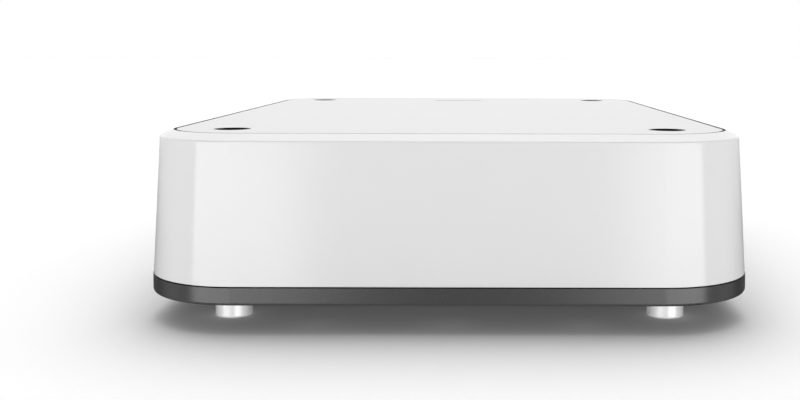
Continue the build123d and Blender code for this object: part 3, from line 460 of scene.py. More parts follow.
@dataclass(frozen=True)
class WoundWire(Finish):
    """Enamelled copper wire, side by side in turns."""

    wire: float = 0.0011
    rib_depth: float = 0.000275
    # How much of the colour follows the ribs, as painted shade in the grooves and painted highlight on the
    # crests.
    rib_shade_share: float = 0.8
    cloud_cells: float = 90.0
    tint_spread: float = 0.25
    gloss_spread: float = 0.1
    metallic: float = 0.85
    enamel: float = 0.5

    def lay(self, graph: Graph) -> None:
        """Builds the turns as ribs, with painted shade in the grooves between them and a painted highlight on
        their crests.

        Args:
            graph: The material's graph.
        """
        _, along_y, _ = graph.axes()
        ribs = (along_y * (2 * math.pi / self.wire)).sine() * 0.5 + 0.5
        cloud = graph.noise(self.cloud_cells, 2.0)
        # Painted shade and highlight: the colour is darker in the grooves between turns and paler on their
        # crests, mixed with a random cloud.
        cover = ribs * self.rib_shade_share + cloud * (1.0 - self.rib_shade_share)
        graph.surface(
            Base_Color=self.tinted(graph, cover, self.tint_spread),
            Metallic=self.metallic,
            Roughness=self.dulled(cloud, self.gloss_spread),
            Coat_Weight=self.enamel,
        )
        graph.bump(ribs, self.rib_depth)


COVER_WHITE = MouldedPlastic("cover_white", (0.84, 0.84, 0.84), 0.15, depth=0.000004)
PANEL_WHITE = MouldedPlastic("panel_white", (0.735, 0.735, 0.735), 0.40, depth=0.000012)
TRAY_GREY = PowderCoat("tray_grey", (0.010, 0.010, 0.011), 0.26, depth=0.000003, gloss_spread=0.08)
PANEL_BLACK = PowderCoat("panel_black", (0.020, 0.020, 0.021), 0.45)
FOOT_METAL = WorkedMetal("foot_metal", (0.82, 0.82, 0.825), 0.44, Grain.ALONG_Z, metallic=0.45)
SLEEVE_BLACK = MouldedPlastic("sleeve_black", (0.010, 0.010, 0.010), 0.60, ior=1.12)
# Partly painted shade: the seals are black rubber, and their near-black also stands in for the shade in the
# groove round the top panel and in the gap between the cover and the tray.
SEAL_RUBBER_AND_SHADE = Grained("seal_rubber", (0.020, 0.020, 0.020), 0.75, ior=1.15)
STEEL = WorkedMetal("stainless_steel", (0.62, 0.61, 0.60), 0.28)
BOARD_GREEN = CircuitLaminate("board_green", (0.012, 0.11, 0.045), 0.35)
PILLAR_BRASS = WorkedMetal("pillar_brass", (0.74, 0.54, 0.24), 0.30, Grain.ROUND_Z)
SINK_METAL = WorkedMetal("sink_metal", (0.72, 0.73, 0.74), 0.38)
PAD_GREY = Grained("pad_grey", (0.30, 0.32, 0.35), 0.80)
RESIN_BLACK = MouldedPlastic("resin_black", (0.022, 0.022, 0.022), 0.55)
CLAMP_STEEL = WorkedMetal("clamp_steel", (0.56, 0.57, 0.58), 0.34)
FERRITE = Grained("ferrite", (0.055, 0.055, 0.058), 0.62)
COPPER = WoundWire("copper_turns", (0.66, 0.27, 0.11), 0.30)
SLEEVED_CAN = MouldedPlastic("capacitor_sleeve", (0.020, 0.028, 0.080), 0.30)
SOCKET_BLACK = MouldedPlastic("socket_black", (0.018, 0.018, 0.018), 0.48, depth=0.00004)
PLATED = WorkedMetal("nickel_plate", (0.82, 0.79, 0.72), 0.16, Grain.ROUND_X)
TERMINAL = WorkedMetal("terminal_nickel", (0.58, 0.57, 0.54), 0.26)
RING_PAIR = PairedPlastic("ring_pair", (0.55, 0.020, 0.018), 0.36)
CONTACT_GOLD = WorkedMetal("contact_gold", (0.83, 0.62, 0.27), 0.22)
PLUG_BLACK = MouldedPlastic("plug_black", (0.026, 0.026, 0.027), 0.44, depth=0.00004)
CORE_WHITE = MouldedPlastic("core_white", (0.74, 0.74, 0.72), 0.34)
POT_METAL = WorkedMetal("pot_metal", (0.58, 0.58, 0.58), 0.32)
KNOB_BLACK = MouldedPlastic("knob_black", (0.020, 0.020, 0.021), 0.46, depth=0.00004)
LEVER_WHITE = MouldedPlastic("lever_white", (0.72, 0.72, 0.70), 0.40)
LAMP_BLUE = TintedPlastic("lamp_blue", (0.20, 0.42, 0.80), 0.18, clearness=0.5)
LENS_GREY = TintedPlastic("lens_grey", (0.10, 0.10, 0.105), 0.42, clearness=0.15, ior=1.22)
FUSE_AMBER = TintedPlastic("fuse_amber", (0.80, 0.26, 0.02), 0.16, clearness=0.55)
FUSE_METAL = WorkedMetal("fuse_metal", (0.74, 0.74, 0.72), 0.30)
INK_WHITE = PrintedInk("ink_white", (0.62, 0.62, 0.61), 0.55)


def carried_over(nodes: Iterable[str], finish: Finish) -> None:
    """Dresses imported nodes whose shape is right.

    Args:
        nodes: The nodes' names.
        finish: The finish that they get.
    """
    for name in nodes:
        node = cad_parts[name]
        for place in node.material_slots:
            place.material = finish.material()
        node.data.shade_smooth()
        node.data.set_sharp_from_angle(angle=CREASE)
        LOG.info("dressed %s in %s", name, finish.name)


class Mesher:
    """Builds one mesh from turned, drawn and ring-shaped forms."""

    def __init__(self) -> None:
        """Starts an empty mesh, painted with the first finish."""
        self.mesh = bmesh.new()
        self.paint = 0

    def face(self, corners: Sequence[bmesh.types.BMVert]) -> None:
        """Adds a face between corners, in the finish of the moment."""
        self.mesh.faces.new(corners).material_index = self.paint

    def loft(self, rings: Sequence[Sequence[Vector]], closed: bool = False) -> None:
        """Joins rings of equally many points into a skin.

        Args:
            rings: The rings, in order.
            closed: Whether the last ring joins the first; otherwise both are filled.
        """
        made = [[self.mesh.verts.new(point) for point in ring] for ring in rings]
        pairs = list(zip(made, made[1:]))
        if closed:
            pairs.append((made[-1], made[0]))
        for near, far in pairs:
            count = len(near)
            for i in range(count):
                j = (i + 1) % count
                self.face((near[i], near[j], far[j], far[i]))
        if not closed:
            self.face(list(reversed(made[0])))
            self.face(made[-1])

    def turn(self, profile: Points, place: Matrix, steps: int = 48, closed: bool = False) -> None:
        """Turns pairs of a distance along local Z and a radius; a closed profile leaves a hole."""
        rings = [level_ring(circle(radius, steps), along, place) for along, radius in profile]
        self.loft(rings, closed)

    def letter(self, words: str, height: float, place: Matrix) -> None:
        """Adds a number or a sign.

        Args:
            words: The number or the sign.
            height: The height of a capital.
            place: Local X runs along the writing, and local Z out of the surface.
        """
        text = bpy.data.curves.new("mark", "FONT")
        text.body = words
        text.align_x, text.align_y = "CENTER", "CENTER"
        text.size = height * FONT_SIZE
        text.extrude = INK_T
        holder = bpy.data.objects.new("mark", text)
        data = bpy.data.meshes.new_from_object(holder)
        data.transform(place)
        known = len(self.mesh.faces)
        self.mesh.from_mesh(data)
        self.mesh.faces.ensure_lookup_table()
        for face in self.mesh.faces[known:]:
            face.material_index = self.paint
        bpy.data.objects.remove(holder)
        bpy.data.curves.remove(text)
        bpy.data.meshes.remove(data)

    def draw(self, outline: Points, stations: Points, place: Matrix) -> None:
        """Draws an outline along local Z; each station is a distance and how far it is pulled in there."""
        self.loft([level_ring(pulled_in(outline, pull), along, place) for along, pull in stations])

    def piece(
        self, name: str, finish: Finish, body: str, slot: str, extra: Sequence[Finish] = ()
    ) -> bpy.types.Object:
        """Turns the mesh into a piece that rides on a body.

        Args:
            name: The piece's name.
            finish: Its finish.
            body: The body that it rides on.
            slot: The record's material slot; not used.
            extra: The finishes of faces painted 1 and up.

        Returns:
            The piece.
        """
        bmesh.ops.recalc_face_normals(self.mesh, faces=self.mesh.faces)
        data = bpy.data.meshes.new(name)
        self.mesh.to_mesh(data)
        self.mesh.free()
        data.shade_smooth()
        data.set_sharp_from_angle(angle=CREASE)
        for layer in (finish, *extra):
            data.materials.append(layer.material())
        piece = bpy.data.objects.new(name, data)
        bpy.context.scene.collection.objects.link(piece)
        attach(piece, body)
        LOG.info("built %s on %s", name, body)
        return piece


def pulled_in(outline: Points, pull: float) -> list[Point2]:
    """Moves an outline's points towards its inside.

    Args:
        outline: The points, anticlockwise.
        pull: How far each edge moves in.

    Returns:
        The moved points.
    """
    if pull == 0.0:
        return list(outline)
    moved = []
    count = len(outline)
    for i, (x, y) in enumerate(outline):
        before, after = outline[i - 1], outline[(i + 1) % count]
        back = Vector((x - before[0], y - before[1])).normalized()
        ahead = Vector((after[0] - x, after[1] - y)).normalized()
        along = (back + ahead).normalized()
        normal = Vector((-along.y, along.x))
        spread = max(SHARPEST_PULL, normal.dot(Vector((-back.y, back.x))))
        moved.append((x + normal.x * pull / spread, y + normal.y * pull / spread))
    return moved


def rounded_rectangle(width: float, height: float, radius: float, steps: int = 6) -> list[Point2]:
    """Returns a rounded rectangle's outline, anticlockwise about its middle.

    Args:
        width: The size along x.
        height: The size along y.
        radius: The corners' radius.
        steps: The number of steps in each corner.

    Returns:
        The outline's points.
    """
    points = []
    for quarter, (sx, sy) in enumerate(((1, 1), (-1, 1), (-1, -1), (1, -1))):
        centre = Vector((sx * (width / 2 - radius), sy * (height / 2 - radius)))
        for i in range(steps + 1):
            angle = math.pi / 2 * (quarter + i / steps)
            points.append((centre.x + radius * math.cos(angle), centre.y + radius * math.sin(angle)))
    return points


def polar(reach: Callable[[float], float], steps: int) -> list[Point2]:
    """Returns points anticlockwise, each as far out as the reach at its angle."""
    angles = (2 * math.pi * i / steps for i in range(steps))
    return [(reach(angle) * math.cos(angle), reach(angle) * math.sin(angle)) for angle in angles]


def circle(radius: float, steps: int = 48) -> list[Point2]:
    """Returns a circle's points."""
    return polar(lambda angle: radius, steps)


def hexagon(across: float, steps: int = 48) -> list[Point2]:
    """Returns a hexagon's points from its width across the flats, as many as a circle has."""
    return polar(lambda angle: across / 2 / math.cos(angle % (math.pi / 3) - math.pi / 6), steps)


def fluted_circle(radius: float, depth: float, flutes: int, steps: int = 8) -> list[Point2]:
    """Returns a circle's points, with steps in each flute, where the edge dips in by the depth."""
    return polar(lambda angle: radius - depth * (0.5 + 0.5 * math.cos(flutes * angle)) ** 3, flutes * steps)


def facing(side: Side, x: float, y: float, z: float) -> Matrix:
    """Returns a place on a side panel, with local Z out of the panel and local Y up."""
    out, up = Vector((side.value, 0.0, 0.0)), Vector((0.0, 0.0, 1.0))
    return Matrix.Translation((x, y, z)) @ Matrix((up.cross(out), up, out)).transposed().to_4x4()


def middle(node: str) -> Vector:
    """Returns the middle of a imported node's box."""
    low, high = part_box(node)
    return (low + high) / 2


def level_ring(outline: Points, along: float, place: Matrix) -> list[Vector]:
    """Returns an outline lifted along local Z and carried into place."""
    return [place @ Vector((x, y, along)) for x, y in outline]


def turned_piece(
    name: str,
    node: str,
    profile: Points,
    places: Iterable[Matrix],
    finish: Finish,
    slot: str,
    steps: int = 48,
) -> None:
    """Builds one piece of closed turned forms on the housing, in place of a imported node.

    Args:
        name: The piece's name.
        node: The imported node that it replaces.
        profile: Pairs of a distance along the axis and a radius, all round the section.
        places: Where each form stands.
        finish: Its finish.
        slot: The record's material slot.
        steps: The number of points round.
    """
    mesher = Mesher()
    for place in places:
        mesher.turn(profile, place, steps, closed=True)
    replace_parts(mesher.piece(name, finish, HOUSING, slot), node)


@dataclass
class Housing:
    """The moulded cover, its inset top panel, the tray and the pieces that join them."""

    foot_d: float = 12.5 * MM
    foot_chamfer: float = 0.5 * MM
    spigot_d: float = 9.0 * MM
    spigot_h: float = 2.4 * MM
    bore_d: float = 5.6 * MM
    column_d: float = 16.0 * MM
    sleeve_d: float = 12.6 * MM
    well_d: float = 10.6 * MM
    well_floor_t: float = 4.0 * MM
    lip_r: float = 0.1 * MM
    hole_pitch_x: float = 150.0 * MM
    hole_pitch_y: float = 224.0 * MM

    def corners(self) -> list[Matrix]:
        """Returns the places of the four mounting holes."""
        half_x, half_y = self.hole_pitch_x / 2, self.hole_pitch_y / 2
        return [Matrix.Translation((sx * half_x, sy * half_y, 0.0)) for sx in (-1, 1) for sy in (-1, 1)]

    def build(self) -> None:
        """Dresses the shells and builds the feet and the sleeves."""
        carried_over(["top_cover"], COVER_WHITE)
        carried_over(["top_panel"], PANEL_WHITE)
        carried_over(["base_plate"], TRAY_GREY)
        # The seals' near-black is partly painted shade, for the groove round the top panel and the gap
        # between the cover and the tray.
        carried_over(["housing_seals"], SEAL_RUBBER_AND_SHADE)
        carried_over(["cover_screws"], STEEL)
        carried_over(["status_lens"], LENS_GREY)
        self.build_feet()
        self.build_sleeves()

    def build_feet(self) -> None:
        """Builds the turned standoff feet, each with its bore and spigot."""
        outer, bore, spigot = self.foot_d / 2, self.bore_d / 2, self.spigot_d / 2
        chamfer = self.foot_chamfer
        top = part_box("base_plate")[0].z
        profile = [
            (0.0, bore + chamfer / 2),
            (0.0, outer - chamfer),
            (chamfer / 4, outer - chamfer / 2),
            (chamfer, outer),
            (top / 2, outer),
            (top, outer),
            (top, spigot),
            (top + self.spigot_h, spigot),
            (top + self.spigot_h, bore),
            (chamfer / 2, bore),
        ]
        turned_piece("standoff_feet", "mounting_feet", profile, self.corners(), FOOT_METAL, "foot_metal", 96)

    def build_sleeves(self) -> None:
        """Builds the columns that line the holes in the top, with rounded lips."""
        sleeve, well, bore = self.sleeve_d / 2, self.well_d / 2, self.bore_d / 2
        low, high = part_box("mounting_columns")
        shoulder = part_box("top_panel")[0].z
        floor = low.z + self.well_floor_t
        top, lip = high.z, self.lip_r
        profile = [
            (low.z, bore),
            (low.z, self.column_d / 2),
            (shoulder, self.column_d / 2),
            (shoulder, sleeve),
            (top - lip, sleeve),
            (top - lip * 0.3, sleeve - lip * 0.3),
            (top, sleeve - lip),
            (top, well + lip),
            (top - lip * 0.3, well + lip * 0.3),
            (top - lip, well),
            (floor + lip, well),
            (floor, well - lip),
            (floor, bore),
        ]
        node, slot = "mounting_columns", "column_black"
        turned_piece("mounting_sleeves", node, profile, self.corners(), SLEEVE_BLACK, slot, 72)


@dataclass
class PhonoSockets:
    """The plated phono sockets, each with a coloured ring and a white core."""

    panel_in_x: float = 91.5 * MM
    shell_d: float = 8.3 * MM
    shell_t: float = 0.6 * MM
    shell_l: float = 10.0 * MM
    seat_d: float = 9.0 * MM
    ring_d: float = 10.6 * MM
    ring_l: float = 3.4 * MM
    core_l: float = 8.6 * MM
    contact_d: float = 3.2 * MM
    edge: float = 0.25 * MM

    def grid(self) -> tuple[list[float], list[float]]:
        """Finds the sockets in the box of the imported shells.

        Returns:
            Their places along the panel and the two rows' heights.
        """
        low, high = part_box("rca_shells")
        half = self.seat_d / 2
        return [low.y + half, (low.y + high.y) / 2, high.y - half], [low.z + half, high.z - half]

    def build(self) -> None:
        """Builds the rings, the shells and the cores."""
        ys, rows = self.grid()
        places = [facing(Side.INPUTS, self.panel_in_x, y, z) for y in ys for z in rows]
        edge = self.edge
        ring_r, seat_r, contact_r = self.ring_d / 2, self.seat_d / 2, self.contact_d / 2
        shell_r, inner_r = self.shell_d / 2, self.shell_d / 2 - self.shell_t
        ring = [
            (0.0, seat_r),
            (0.0, ring_r),
            (self.ring_l - edge * 2, ring_r),
            (self.ring_l - edge * 0.6, ring_r - edge * 0.6),
            (self.ring_l, ring_r - edge * 2),
            (self.ring_l, seat_r),
        ]
        shell = [
            (0.0, inner_r),
            (0.0, seat_r),
            (self.ring_l, seat_r),
            (self.ring_l, shell_r),
            (self.shell_l - edge, shell_r),
            (self.shell_l - edge * 0.3, shell_r - edge * 0.3),
            (self.shell_l, shell_r - edge),
            (self.shell_l - edge * 0.5, inner_r),
        ]
        core = [
            (0.0, contact_r),
            (0.0, inner_r),
            (self.core_l - edge, inner_r),
            (self.core_l, inner_r - edge),
            (self.core_l, contact_r + edge * 2),
            (self.core_l - edge * 2, contact_r),
        ]
        turned_piece("phono_rings", "rca_rings", ring, places, RING_PAIR, "ring_colour")
        turned_piece("phono_shells", "rca_shells", shell, places, PLATED, "shell_plated")
        turned_piece("phono_cores", "rca_cores", core, places, CORE_WHITE, "core_white")
        carried_over(["rca_bodies"], SOCKET_BLACK)


@dataclass
class Knob:
    """A fluted knob with a dished face and a white pointer, on its shaft."""

    body: str
    panel_x: float = 94.0 * MM
    lift: float = 0.5 * MM
    length: float = 6.6 * MM
    radius: float = 4.5 * MM
    flutes: int = 18
    flute_depth: float = 0.4 * MM
    edge: float = 0.35 * MM
    dish: float = 0.3 * MM
    shaft_r: float = 2.0 * MM
    shaft_l: float = 9.0 * MM
    pointer_w: float = 0.9 * MM

    def build(self) -> None:
        """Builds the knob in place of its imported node."""
        centre = middle(self.body)
        place = facing(Side.INPUTS, self.panel_x + self.lift, centre.y, centre.z)
        edge, face = self.edge, self.length
        rings = []
        for along, pull, share in (
            (0.0, edge, 0.6),
            (edge, 0.0, 1.0),
            (face - edge * 2, 0.0, 1.0),
            (face - edge, edge * 0.3, 0.6),
            (face, edge * 1.4, 0.0),
            (face, edge * 2.4, 0.0),
            (face - self.dish, edge * 3.2, 0.0),
        ):
            outline = fluted_circle(self.radius - pull, self.flute_depth * share, self.flutes)
            rings.append(level_ring(outline, along, place))
        mesher = Mesher()
        mesher.loft(rings)
        mesher.turn([(self.length / 4 - self.shaft_l, self.shaft_r), (edge, self.shaft_r)], place)
        mesher.paint = 1
        reach = self.radius - edge * 2.4
        up = place @ Matrix.Translation((0.0, reach * 0.6, 0.0))
        bar = rounded_rectangle(self.pointer_w, reach * 0.7, self.pointer_w * 0.3)
        mesher.draw(bar, [(face - self.dish * 1.5, 0.0), (face - self.dish * 0.4, 0.0)], up)
        knob = mesher.piece(f"{self.body}_grip", KNOB_BLACK, self.body, "knob_black", extra=(INK_WHITE,))
        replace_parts(knob, self.body)


@dataclass
class Lever:
    """A slide switch's lever, with three ribs for a fingertip."""

    body: str
    width: float = 3.6 * MM
    height: float = 2.8 * MM
    rib_pitch: float = 1.1 * MM
    rib_w: float = 0.6 * MM
    rib_h: float = 0.5 * MM
    rib_edge: float = 0.1 * MM
    edge: float = 0.25 * MM

    def build(self) -> None:
        """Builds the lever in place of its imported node."""
        low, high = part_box(self.body)
        centre = middle(self.body)
        place = facing(Side.INPUTS, low.x, centre.y, centre.z)
        length = high.x - low.x
        mesher = Mesher()
        outline = rounded_rectangle(self.width, self.height, self.edge * 1.5)
        top = length - self.rib_h
        mesher.draw(outline, [(0.0, 0.0), (top - self.edge, 0.0), (top, self.edge * 0.7)], place)
        rib = rounded_rectangle(self.rib_w, self.height - self.edge * 2, self.rib_w * 0.3)
        stations = [(top - self.edge, 0.0), (length - self.rib_edge, 0.0), (length, self.rib_edge)]
        for n in (-1, 0, 1):
            mesher.draw(rib, stations, place @ Matrix.Translation((n * self.rib_pitch, 0.0, 0.0)))
        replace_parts(mesher.piece(f"{self.body}_lever", LEVER_WHITE, self.body, "lever_white"), self.body)


@dataclass
class InputSide:
    """The input panel with its sockets, knobs, switches, lights and printed marks."""

    panel_x: float = 94.0 * MM
    light_d: float = 3.0 * MM
    light_out: float = 0.8 * MM
    light_foot: float = 0.15 * MM
    dome_angles: tuple[float, ...] = (0.0, 0.3, 0.6, 0.9, 1.2, 1.45)
    socket_number_h: float = 1.575 * MM
    switch_number_h: float = 1.68 * MM
    digit_gap: float = 6.2 * MM
    tick_r: float = 5.6 * MM
    tick_l: float = 0.7 * MM
    tick_w: float = 0.22 * MM
    tick_count: int = 11
    tick_arc: float = 280.0
    tick_side: float = 0.86
    contact_w: float = 0.5 * MM
    contact_h: float = 0.6 * MM
    contact_l: float = 7.4 * MM
    contact_tip: float = 0.4 * MM
    contact_edge: float = 0.1 * MM
    contact_back: float = 10.5 * MM
    contact_row: float = 10.2 * MM
    contact_lift: float = 3.2 * MM
    contact_count: int = 8

    def build(self) -> None:
        """Builds and dresses everything on the input side."""
        carried_over(["input_panel"], PANEL_BLACK)
        carried_over(["potentiometers"], POT_METAL)
        carried_over(["switch_frames", "remote_socket"], SOCKET_BLACK)
        PhonoSockets().build()
        for n in (1, 2, 3):
            Knob(f"gain_knob_{n}").build()
            Knob(f"filter_knob_{n}").build()
            Lever(f"filter_switch_{n}").build()
        Lever("input_switch").build()
        self.build_lights()
        self.build_marks()
        self.build_remote_contacts()

    def build_lights(self) -> None:
        """Builds the two domed indicator lights."""
        low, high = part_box("indicator_lights")
        radius = self.light_d / 2
        mesher = Mesher()
        for y in (low.y + radius, high.y - radius):
            place = facing(Side.INPUTS, low.x, y, (low.z + high.z) / 2)
            start = high.x - low.x - self.light_out
            dome = [(start + self.light_out * math.sin(a), radius * math.cos(a)) for a in self.dome_angles]
            foot = [(0.0, radius - self.light_foot), (self.light_foot, radius)]
            mesher.turn([*foot, *dome], place, steps=32)
        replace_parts(mesher.piece("indicator_domes", LAMP_BLUE, HOUSING, "light_clear"), "indicator_lights")

    def build_marks(self) -> None:
        """Prints the scales round the knobs and the numbers of the sockets."""
        mesher = Mesher()
        for n in (1, 2, 3):
            for kind in ("gain", "filter"):
                centre = middle(f"{kind}_knob_{n}")
                self.add_scale(mesher, facing(Side.INPUTS, self.panel_x, centre.y, centre.z))
            switch = middle(f"filter_switch_{n}")
            for step, digit in ((-1, "1"), (1, "2")):
                seat = facing(Side.INPUTS, self.panel_x, switch.y + step * self.digit_gap, switch.z)
                mesher.letter(digit, self.switch_number_h, seat)
        ys, rows = PhonoSockets().grid()
        for n, y in enumerate(ys):
            seat = facing(Side.INPUTS, self.panel_x, y, sum(rows) / 2)
            mesher.letter(str(n + 1), self.socket_number_h, seat)
        mesher.piece("input_marks", INK_WHITE, HOUSING, "panel_black")

    def add_scale(self, mesher: Mesher, seat: Matrix) -> None:
        """Adds one knob's ring of ticks, without those where the next knob stands.

        Args:
            mesher: The mesh that the ticks join.
            seat: The knob's middle, on the panel.
        """
        for n in range(self.tick_count):
            turn = math.radians(self.tick_arc * (n / (self.tick_count - 1) - 0.5))
            long_tick = n in (0, self.tick_count // 2, self.tick_count - 1)
            length = self.tick_l * (1.0 if long_tick else 0.6)
            if abs(math.sin(turn)) > self.tick_side:
                continue
            spot = seat @ Matrix.Rotation(-turn, 4, "Z") @ Matrix.Translation((0.0, self.tick_r, 0.0))
            tick = rounded_rectangle(self.tick_w, length, self.tick_w * 0.3, steps=2)
            mesher.draw(tick, [(-INK_T, 0.0), (INK_T, 0.0)], spot)

    def build_remote_contacts(self) -> None:
        """Builds the sprung contacts in the remote socket's mouth."""
        _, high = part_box("remote_socket")
        centre = middle("remote_socket")
        mesher = Mesher()
        pitch = self.contact_row / self.contact_count
        bar = rounded_rectangle(self.contact_w, self.contact_h, self.contact_edge, steps=2)
        start = self.contact_l - self.contact_tip
        stations = [(0.0, 0.0), (start, 0.0), (self.contact_l, self.contact_edge * 1.2)]
        for n in range(self.contact_count):
            y = centre.y + (n - (self.contact_count - 1) / 2) * pitch
            place = facing(Side.INPUTS, high.x - self.contact_back, y, centre.z + self.contact_lift)
            mesher.draw(bar, stations, place)
        mesher.piece("remote_contacts", CONTACT_GOLD, HOUSING, "shell_plated")


@dataclass
class OutputSide:
    """The output panel with its power terminals, speaker plugs and fuses."""

    panel_x: float = -94.0 * MM
    housing_x: float = -100.4 * MM
    number_h: float = 2.4 * MM
    number_lift: float = 3.6 * MM
    fuse_number_h: float = 2.6 * MM
    housing_mark_h: float = 2.16 * MM
    housing_mark_z: float = 44.1 * MM
    housing_mark_in: float = 6.0 * MM
    plug_mark_z: float = 38.1 * MM
    way_pitch: float = 5.08 * MM

    def build(self) -> None:
        """Builds and dresses everything on the output side."""
        carried_over(["output_panel"], PANEL_BLACK)
        carried_over(["power_housing", "speaker_headers", "fuse_holder"], SOCKET_BLACK)
        carried_over(["power_contacts", "header_pins"], TERMINAL)
        carried_over(["power_screws"], STEEL)
        for n in (1, 2, 3):
            carried_over([f"speaker_plug_{n}"], PLUG_BLACK)
            carried_over([f"plug_screws_{n}"], STEEL)
        for n in (1, 2):
            carried_over([f"fuse_{n}"], FUSE_AMBER)
            carried_over([f"fuse_blades_{n}"], FUSE_METAL)
        self.build_fuse_numbers()
        self.build_marks()

    def build_fuse_numbers(self) -> None:
        """Moulds the rating on each fuse's face."""
        for n in (1, 2):
            centre = middle(f"fuse_{n}")
            seat = facing(Side.OUTPUTS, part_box(f"fuse_{n}")[0].x, centre.y, centre.z)
            mesher = Mesher()
            mesher.letter("30", self.fuse_number_h, seat)
            mesher.piece(f"fuse_number_{n}", INK_WHITE, f"fuse_{n}", "fuse_amber")

    def build_marks(self) -> None:
        """Prints the plus and minus marks and the numbers of the outputs."""
        mesher = Mesher()
        for n in (1, 2, 3):
            centre = middle(f"speaker_plug_{n}")
            for way, mark in enumerate(("+", "-", "+", "-")):
                y = centre.y + (1.5 - way) * self.way_pitch
                seat = facing(Side.OUTPUTS, self.panel_x, y, self.plug_mark_z)
                mesher.letter(mark, self.number_h, seat)
            for half in (0, 1):
                y = centre.y + (1 - 2 * half) * self.way_pitch
                seat = facing(Side.OUTPUTS, self.panel_x, y, self.plug_mark_z + self.number_lift)
                mesher.letter(str(2 * (3 - n) + half + 1), self.number_h, seat)
        low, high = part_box("power_contacts")
        for y, mark in ((low.y + self.housing_mark_in, "-"), (high.y - self.housing_mark_in, "+")):
            seat = facing(Side.OUTPUTS, self.housing_x, y, self.housing_mark_z)
            mesher.letter(mark, self.housing_mark_h, seat)
        mesher.piece("output_marks", INK_WHITE, HOUSING, "panel_black")


@dataclass
class Inside:
    """The boards, the power stage and the fastenings that the shells enclose."""

    head_d: float = 5.4 * MM
    head_h: float = 1.7 * MM
    shank_d: float = 2.9 * MM
    shank_l: float = 6.5 * MM
    tip_t: float = 0.348 * MM
    dome: Points = ((0.96, 0.0), (1.0, 0.12), (0.985, 0.42), (0.92, 0.72), (0.8, 0.92), (0.66, 1.0))
    key: float = 2.6 * MM
    key_hole: Points = ((1.06, 1.0), (1.0, 0.94), (1.0, 0.3))

    def build(self) -> None:
        """Dresses the pieces inside the housing."""
        carried_over(["main_board", "control_board", "light_board"], BOARD_GREEN)
        carried_over(["board_pillars"], PILLAR_BRASS)
        carried_over(["inner_screws", "clamp_bolts"], STEEL)
        carried_over(["heat_sinks"], SINK_METAL)
        carried_over(["thermal_pads"], PAD_GREY)
        carried_over(["power_transistors", "signal_chips"], RESIN_BLACK)
        carried_over(["clamp_bars"], CLAMP_STEEL)
        carried_over(["transformer_cores", "output_inductors"], FERRITE)
        carried_over(["transformer_windings"], COPPER)
        carried_over(["supply_capacitors"], SLEEVED_CAN)
        self.build_side_screws()

    def add_screw(self, mesher: Mesher, place: Matrix) -> None:
        """Adds a domed screw with a hexagonal key hole.

        Args:
            mesher: The mesh that it joins.
            place: Local Z points out of the seat, and its zero is on the seat.
        """
        shank = ((0.8, -self.shank_l), (1.0, -self.shank_l + self.tip_t), (1.0, 0.0))
        stations = [(circle(self.shank_d / 2 * out), along) for out, along in shank]
        stations += [(circle(self.head_d / 2 * out), self.head_h * up) for out, up in self.dome]
        stations += [(hexagon(self.key * out), self.head_h * up) for out, up in self.key_hole]
        mesher.loft([level_ring(outline, along, place) for outline, along in stations])

    def build_side_screws(self) -> None:
        """Builds the button screws that hold the side panels."""
        low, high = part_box("side_screws")
        half = self.head_d / 2
        mesher = Mesher()
        for side in Side:
            seat_x = (high.x - self.head_h) * side.value
            for y in (low.y + half, high.y - half):
                for z in (low.z + half, high.z - half):
                    self.add_screw(mesher, facing(side, seat_x, y, z))
        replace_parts(mesher.piece("panel_screws", STEEL, HOUSING, "steel_screw"), "side_screws")


@dataclass(frozen=True)
class Card:
    """A bright rectangular card beside the part that shows in its reflections alone."""

    name: str
    azimuth: float
    elevation: float = -8.0
    distance: float = 1.6
    aim_z: float = 0.04
    width: float = 1.39
    height: float = 0.68
    radiance: float = 3.5

    def build(self) -> None:
        """Builds the card as a lamp that neither the camera nor soft light sees."""
        data = bpy.data.lights.new(self.name, "AREA")
        data.shape = "RECTANGLE"
        data.size, data.size_y = self.width, self.height
        data.energy = self.radiance * math.pi * self.width * self.height
        card = bpy.data.objects.new(self.name, data)
        turn, rise = math.radians(self.azimuth), math.radians(self.elevation)
        away = Vector((math.sin(turn) * math.cos(rise), -math.cos(turn) * math.cos(rise), math.sin(rise)))
        card.location = Vector((0.0, 0.0, self.aim_z)) + away * self.distance
        card.rotation_euler = (-away).to_track_quat("-Z", "Y").to_euler()
        card.visible_camera = False
        card.visible_diffuse = False
        bpy.context.scene.collection.objects.link(card)


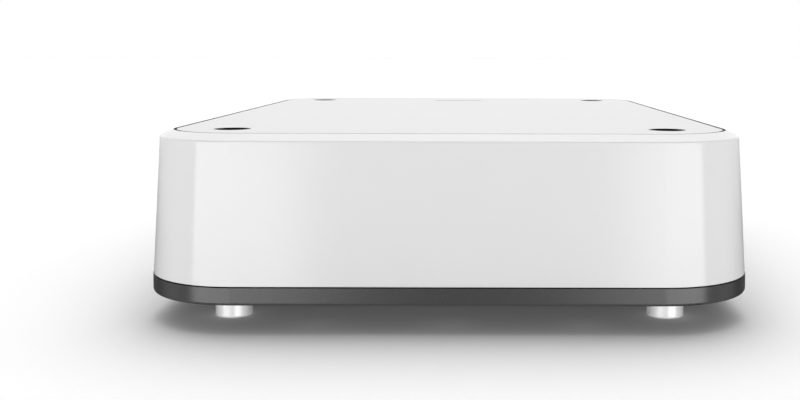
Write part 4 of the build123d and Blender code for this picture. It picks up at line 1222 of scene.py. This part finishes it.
@dataclass
class Studio:
    """The pale floor, the soft light and the photograph's camera."""

    floor_half: float = 20.0
    floor_seen: float = 1.0
    floor_felt: float = 0.80
    floor_glow: float = 0.045
    floor_bounce: float = 0.46
    contact_reach: float = 0.12
    contact_shade: float = 0.34
    contact_samples: int = 4
    sky_felt: float = 0.30
    key_felt: float = 2.9
    key_sheen: float = 1.4
    key_elevation: float = 62.0
    key_focus: float = 6.0
    fill_felt: float = 1.45
    fill_elevation: float = 8.0
    fill_focus: float = 12.0
    dusk: float = 0.85
    dusk_fall: float = 7.0
    dusk_turn: float = 2.0
    cards: tuple[Card, ...] = (Card("card_left", -33.5), Card("card_right", 33.5))
    lens: float = 46.189
    sensor: float = 36.0
    clip: Point2 = (0.01, 100.0)
    eye: tuple[float, float, float] = (7.41 * MM, -465.17 * MM, 90.36 * MM)
    pitch: float = 0.0563
    yaw: float = 0.0027
    roll: float = 0.0027
    shift: Point2 = (-0.0928, -0.11)

    def build(self) -> None:
        """Builds the floor, the sky, the cards and the camera."""
        self.build_floor()
        self.build_sky()
        for card in self.cards:
            card.build()
        self.build_camera()
        bpy.context.scene.view_settings.view_transform = "Standard"

    def build_floor(self) -> None:
        """Builds the floor, white where nothing stands on it and left out of reflections."""
        material = bpy.data.materials.new("studio_floor")
        graph = Graph(material)
        _, seen = graph.rays()
        samples, reach = {"samples": self.contact_samples}, {"Distance": self.contact_reach}
        open_share = graph.node("ShaderNodeAmbientOcclusion", samples, reach, "AO")
        felt = (self.floor_felt,) * 3
        white = graph.grey((open_share - 1.0) * self.contact_shade + self.floor_seen)
        bounce, glow = (self.floor_bounce,) * 3, (self.floor_glow,) * 3
        graph.surface(
            Base_Color=graph.mix(seen, felt, white),
            Roughness=1.0,
            Specular_IOR_Level=0.0,
            Emission_Color=graph.mix(seen, bounce, glow),
            Emission_Strength=1.0,
        )
        mesh = bmesh.new()
        bmesh.ops.create_grid(mesh, x_segments=1, y_segments=1, size=self.floor_half)
        data = bpy.data.meshes.new("studio_floor")
        mesh.to_mesh(data)
        mesh.free()
        data.materials.append(material)
        floor = bpy.data.objects.new("studio_floor", data)
        floor.visible_glossy = False
        bpy.context.scene.collection.objects.link(floor)

    def build_sky(self) -> None:
        """Builds the sky, white to look at, with a key light high up behind the part and a fill in front.

        Reflections also see the key light, and a dusk low down behind the part.
        """
        world = bpy.data.worlds.new("studio_sky")
        graph = Graph(world)
        camera, seen = graph.rays()
        rise, dip = math.radians(self.key_elevation), math.radians(self.fill_elevation)
        key = graph.toward((0.0, math.cos(rise), math.sin(rise))).above(0.0) ** self.key_focus
        fill = graph.toward((0.0, -math.cos(dip), math.sin(dip))).above(0.0) ** self.fill_focus
        low = graph.toward((0.0, 0.0, -self.dusk_fall)).above(0.0).below(1.0)
        behind = graph.toward((0.0, self.dusk_turn, 0.0)).above(0.0).below(1.0)
        shown = (key * self.key_sheen - low * behind * self.dusk) * (1.0 - camera) + 1.0
        felt = key * self.key_felt + fill * self.fill_felt + self.sky_felt
        graph.surface(Color=graph.grey(seen * shown + (1.0 - seen) * felt), Strength=1.0)
        bpy.context.scene.world = world

    def build_camera(self) -> None:
        """Builds the camera at the photograph's viewpoint."""
        lens = bpy.data.cameras.new("photo_camera")
        lens.sensor_width, lens.lens = self.sensor, self.lens
        lens.shift_x, lens.shift_y = self.shift
        lens.clip_start, lens.clip_end = self.clip
        camera = bpy.data.objects.new("photo_camera", lens)
        turn = Matrix.Rotation(-self.yaw, 4, "Z") @ Matrix.Rotation(math.pi / 2 - self.pitch, 4, "X")
        camera.matrix_world = Matrix.Translation(self.eye) @ turn @ Matrix.Rotation(self.roll, 4, "Z")
        bpy.context.scene.collection.objects.link(camera)
        bpy.context.scene.camera = camera


def main() -> None:
    """Builds the amplifier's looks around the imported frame."""
    logging.basicConfig(level=logging.INFO, format="%(name)s: %(message)s")
    for part in (Housing(), InputSide(), OutputSide(), Inside(), Studio()):
        LOG.info("building %s", type(part).__name__)
        part.build()


if __name__ == "__main__":
    main()
